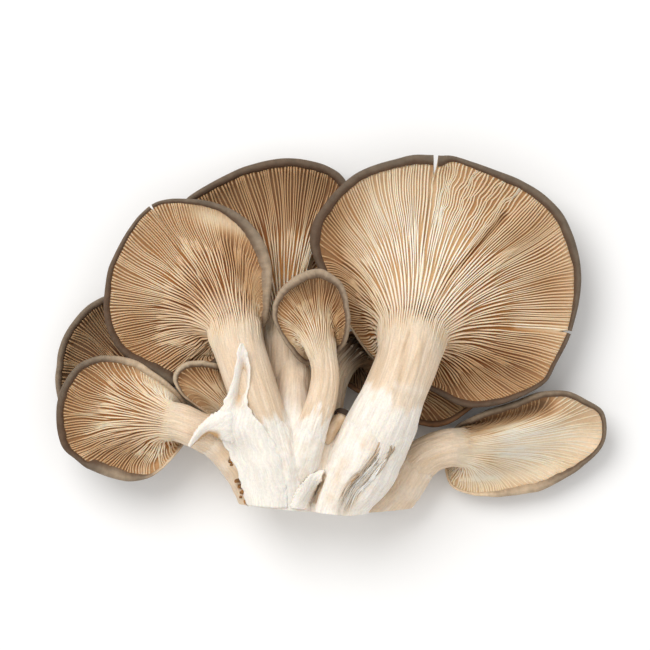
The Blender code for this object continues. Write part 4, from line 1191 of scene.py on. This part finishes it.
branch = sheet(
    "torn_branch",
    [
        [(-33.4, -25, 41.6), (-34, -29.4, 42), (-34.6, -34, 41), (-34.4, -39, 38.6)],
        [(-36.4, -24.6, 43), (-37.2, -29.2, 43.8), (-38, -34, 42.9), (-37.8, -38.6, 40)],
        [(-40.4, -27, 42.6), (-41, -30.6, 43.4), (-41.4, -34, 42.2), (-41.6, -37.2, 39.6)],
        [(-44.6, -29.4, 41.6), (-44.8, -31.8, 42.4), (-44.8, -34, 41), (-44.6, -35.8, 38.8)],
        [(-47.4, -32.2, 40.6), (-47.6, -34, 41), (-47.2, -35.4, 39.6), (-46.8, -36.6, 38)],
        [(-50.2, -35.6, 39.4), (-50, -36.8, 39.8), (-49.4, -37.6, 38.6), (-48.8, -38.4, 37.2)],
        [(-52.3, -40, 37.6), (-52.1, -40.4, 37.6), (-51.9, -40.6, 37.2), (-51.7, -40.8, 37)],
    ],
    thickness=0.9,
    seed=431,
    inner=lambda u, v: smooth(0.6, 0.85, u) * smooth(0.25, 0.4, v),
    outer=linear(196, 158, 112),
)
strip = sheet(
    "torn_strip",
    [
        [(-15.2, -63, 0.3), (-12.4, -63.4, 1.2), (-9.2, -63.8, 1.8)],
        [(-14, -58.6, 0.3), (-10.8, -59.2, 1.4), (-7.4, -59.8, 2.2)],
        [(-11.6, -54.8, 0.3), (-8.6, -55.6, 1.6), (-5.6, -56.4, 2.4)],
        [(-8.4, -51.4, 0.4), (-6, -52, 1.4), (-3.8, -53, 2.0)],
        [(-4.4, -49.6, 0.4), (-3.4, -49.4, 1.0), (-2.6, -49.2, 1.0)],
    ],
    thickness=0.8,
    seed=461,
    inner=lambda u, v: 0.35 * smooth(0.7, 1.0, u),
    outer=linear(214, 186, 150),
)


# The bare fibres, side by side in the scar of the thickest stem: thin threads that taper at both ends.
rng = np.random.default_rng(55)
thread_points, thread_faces, thread_tint = [], [], []
thread_angles = np.linspace(0, 2 * math.pi, 6, endpoint=False)
steps = 16
for number in range(40):
    aside = rng.uniform(-3.0, 3.0)
    begin, end = rng.uniform(0.0, 0.55), rng.uniform(0.65, 1.0)
    if number > 34:  # the last few are short ends at the top of the scar
        begin, end = rng.uniform(0.02, 0.1), rng.uniform(0.2, 0.3)
    line = trace([(x, y, 0) for x, y in SCAR], np.linspace(begin, end, steps))
    across = unit(np.cross(np.gradient(line, axis=0), UP))
    line += (aside + 0.35 * np.sin(np.linspace(0, rng.uniform(2, 9), steps) + number))[:, None] * across
    heights = np.pad([felt_height(x, y) for x, y, _ in line], 2, mode="edge")
    line[:, 2] = np.convolve(heights, np.ones(5) / 5, mode="valid") + rng.uniform(0.1, 0.45)
    thick = rng.uniform(0.25, 0.55) * np.sin(np.linspace(0.12, math.pi - 0.12, steps))
    rings = line[:, None] + thick[:, None, None] * rays_round(np.gradient(line, axis=0), thread_angles)
    add_tube(thread_points, thread_faces, rings, [line[0], line[-1]])
    # Each thread is greyed by a random share of painted shade, and those on one side of the scar are tinted tan.
    colour = blend(FELT_WHITE, linear(160, 140, 116), rng.uniform(0, 1))
    if aside > 1.4:
        colour = blend(colour, linear(196, 152, 104), rng.uniform(0.2, 0.9))
    thread_tint.append(np.repeat(colour[None], len(thread_points[-1]), 0))
bare_fibres = add_mesh("bare_fibres", np.vstack(thread_points), thread_faces, np.vstack(thread_tint), felt)
for piece in (clay, flap, branch, strip, bare_fibres):
    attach(piece, "root")


# The pinhead beside the thick stem: a mushroom that never grew, with a dark cap like a button.
PIN_SKIN = linear(80, 66, 55)
pin_foot, pin_top = np.array([-3.2, -38.8, 28.8]), np.array([3.9, -29.6, 29])
pin_angles = np.linspace(0, 2 * math.pi, 40, endpoint=False)
pin_heading = unit(pin_top - pin_foot)
pin_ray = rays_round(pin_heading, pin_angles)
pin_rings, pin_tints = [], []
for share in np.linspace(0, 1, 16):
    wall = 3.0 - 0.8 * share + 0.12 * np.sin(share * 9)
    streaks = field(pin_angles / (2 * math.pi), pin_angles * 0 + share, 18, 4, 501)
    pin_rings.append(pin_foot + share * (pin_top - pin_foot) + (wall + 0.12 * streaks)[:, None] * pin_ray)
    pin_tints.append(blend(CREAM, STRAW, np.clip(0.5 + 0.6 * streaks, 0, 1)))
cap_axis = unit(pin_heading + np.array([-0.1, 0.25, -0.5]))
cap_ray = rays_round(cap_axis, pin_angles)
# The cap's rings run from the stem's top round the margin to the top; the darkest, just inside the margin, is
# painted shade.
for out_mm, up_mm, colour in (
    (2.0, 0.5, STRAW),
    (2.1, 1.0, linear(92, 58, 40)),
    (2.4, 0.4, linear(60, 40, 32)),
    (2.75, -0.25, linear(88, 74, 64)),
    (3.1, -0.3, linear(72, 58, 48)),
    (3.3, 0.4, linear(62, 48, 38)),
    (3.1, 1.3, linear(70, 56, 46)),
    (2.4, 2.1, PIN_SKIN),
    (1.2, 2.6, PIN_SKIN),
):
    pin_rings.append(pin_top + up_mm * cap_axis + out_mm * cap_ray)
    pin_tints.append(np.repeat(colour[None], len(pin_angles), 0))
pin_blocks, pin_faces = [], []
add_tube(pin_blocks, pin_faces, np.array(pin_rings), [pin_foot, pin_top + 2.75 * cap_axis])
pin = add_mesh("pin", pin_blocks[0], pin_faces, np.vstack([*pin_tints, CREAM, PIN_SKIN]), body_flesh)
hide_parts("mushroom_pin")
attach(pin, "root")


# Crumbs of the block that it grew on still stick to the left edge of the cut.
rng = np.random.default_rng(77)
crumb_points, crumb_faces, crumb_tint = [], [], []
for x, y, size in [
    (-34.4, -53.4, 1.1), (-33.4, -55.2, 1.3), (-32.6, -57.4, 1.2), (-31.4, -61.2, 0.9), (-33.2, -59.4, 0.7),
    (-30.4, -62, 0.8), (-32.2, -54, 0.7), (-36.9, -46.2, 0.9), (-29.4, -61.8, 0.6), (-36.6, -47.4, 0.6),
]:
    middle = [x, y, felt_height(x, y) + 0.1 * size]
    ball = bmesh.new()
    bmesh.ops.create_icosphere(ball, subdivisions=1, radius=size)
    base = len(crumb_points)
    for v in ball.verts:
        rough = 1 + rng.uniform(-0.35, 0.3)
        crumb_points.append(np.array(v.co) * rough * [1.2, 0.9, 0.8] + middle)
        crumb_tint.append(linear(*(np.array([150, 104, 58]) * rng.uniform(0.7, 1.15))))
    crumb_faces += [[base + v.index for v in f.verts] for f in ball.faces]
    ball.free()
crumbs = add_mesh("substrate_crumbs", np.array(crumb_points), crumb_faces, np.array(crumb_tint), body_flesh)
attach(crumbs, "root")
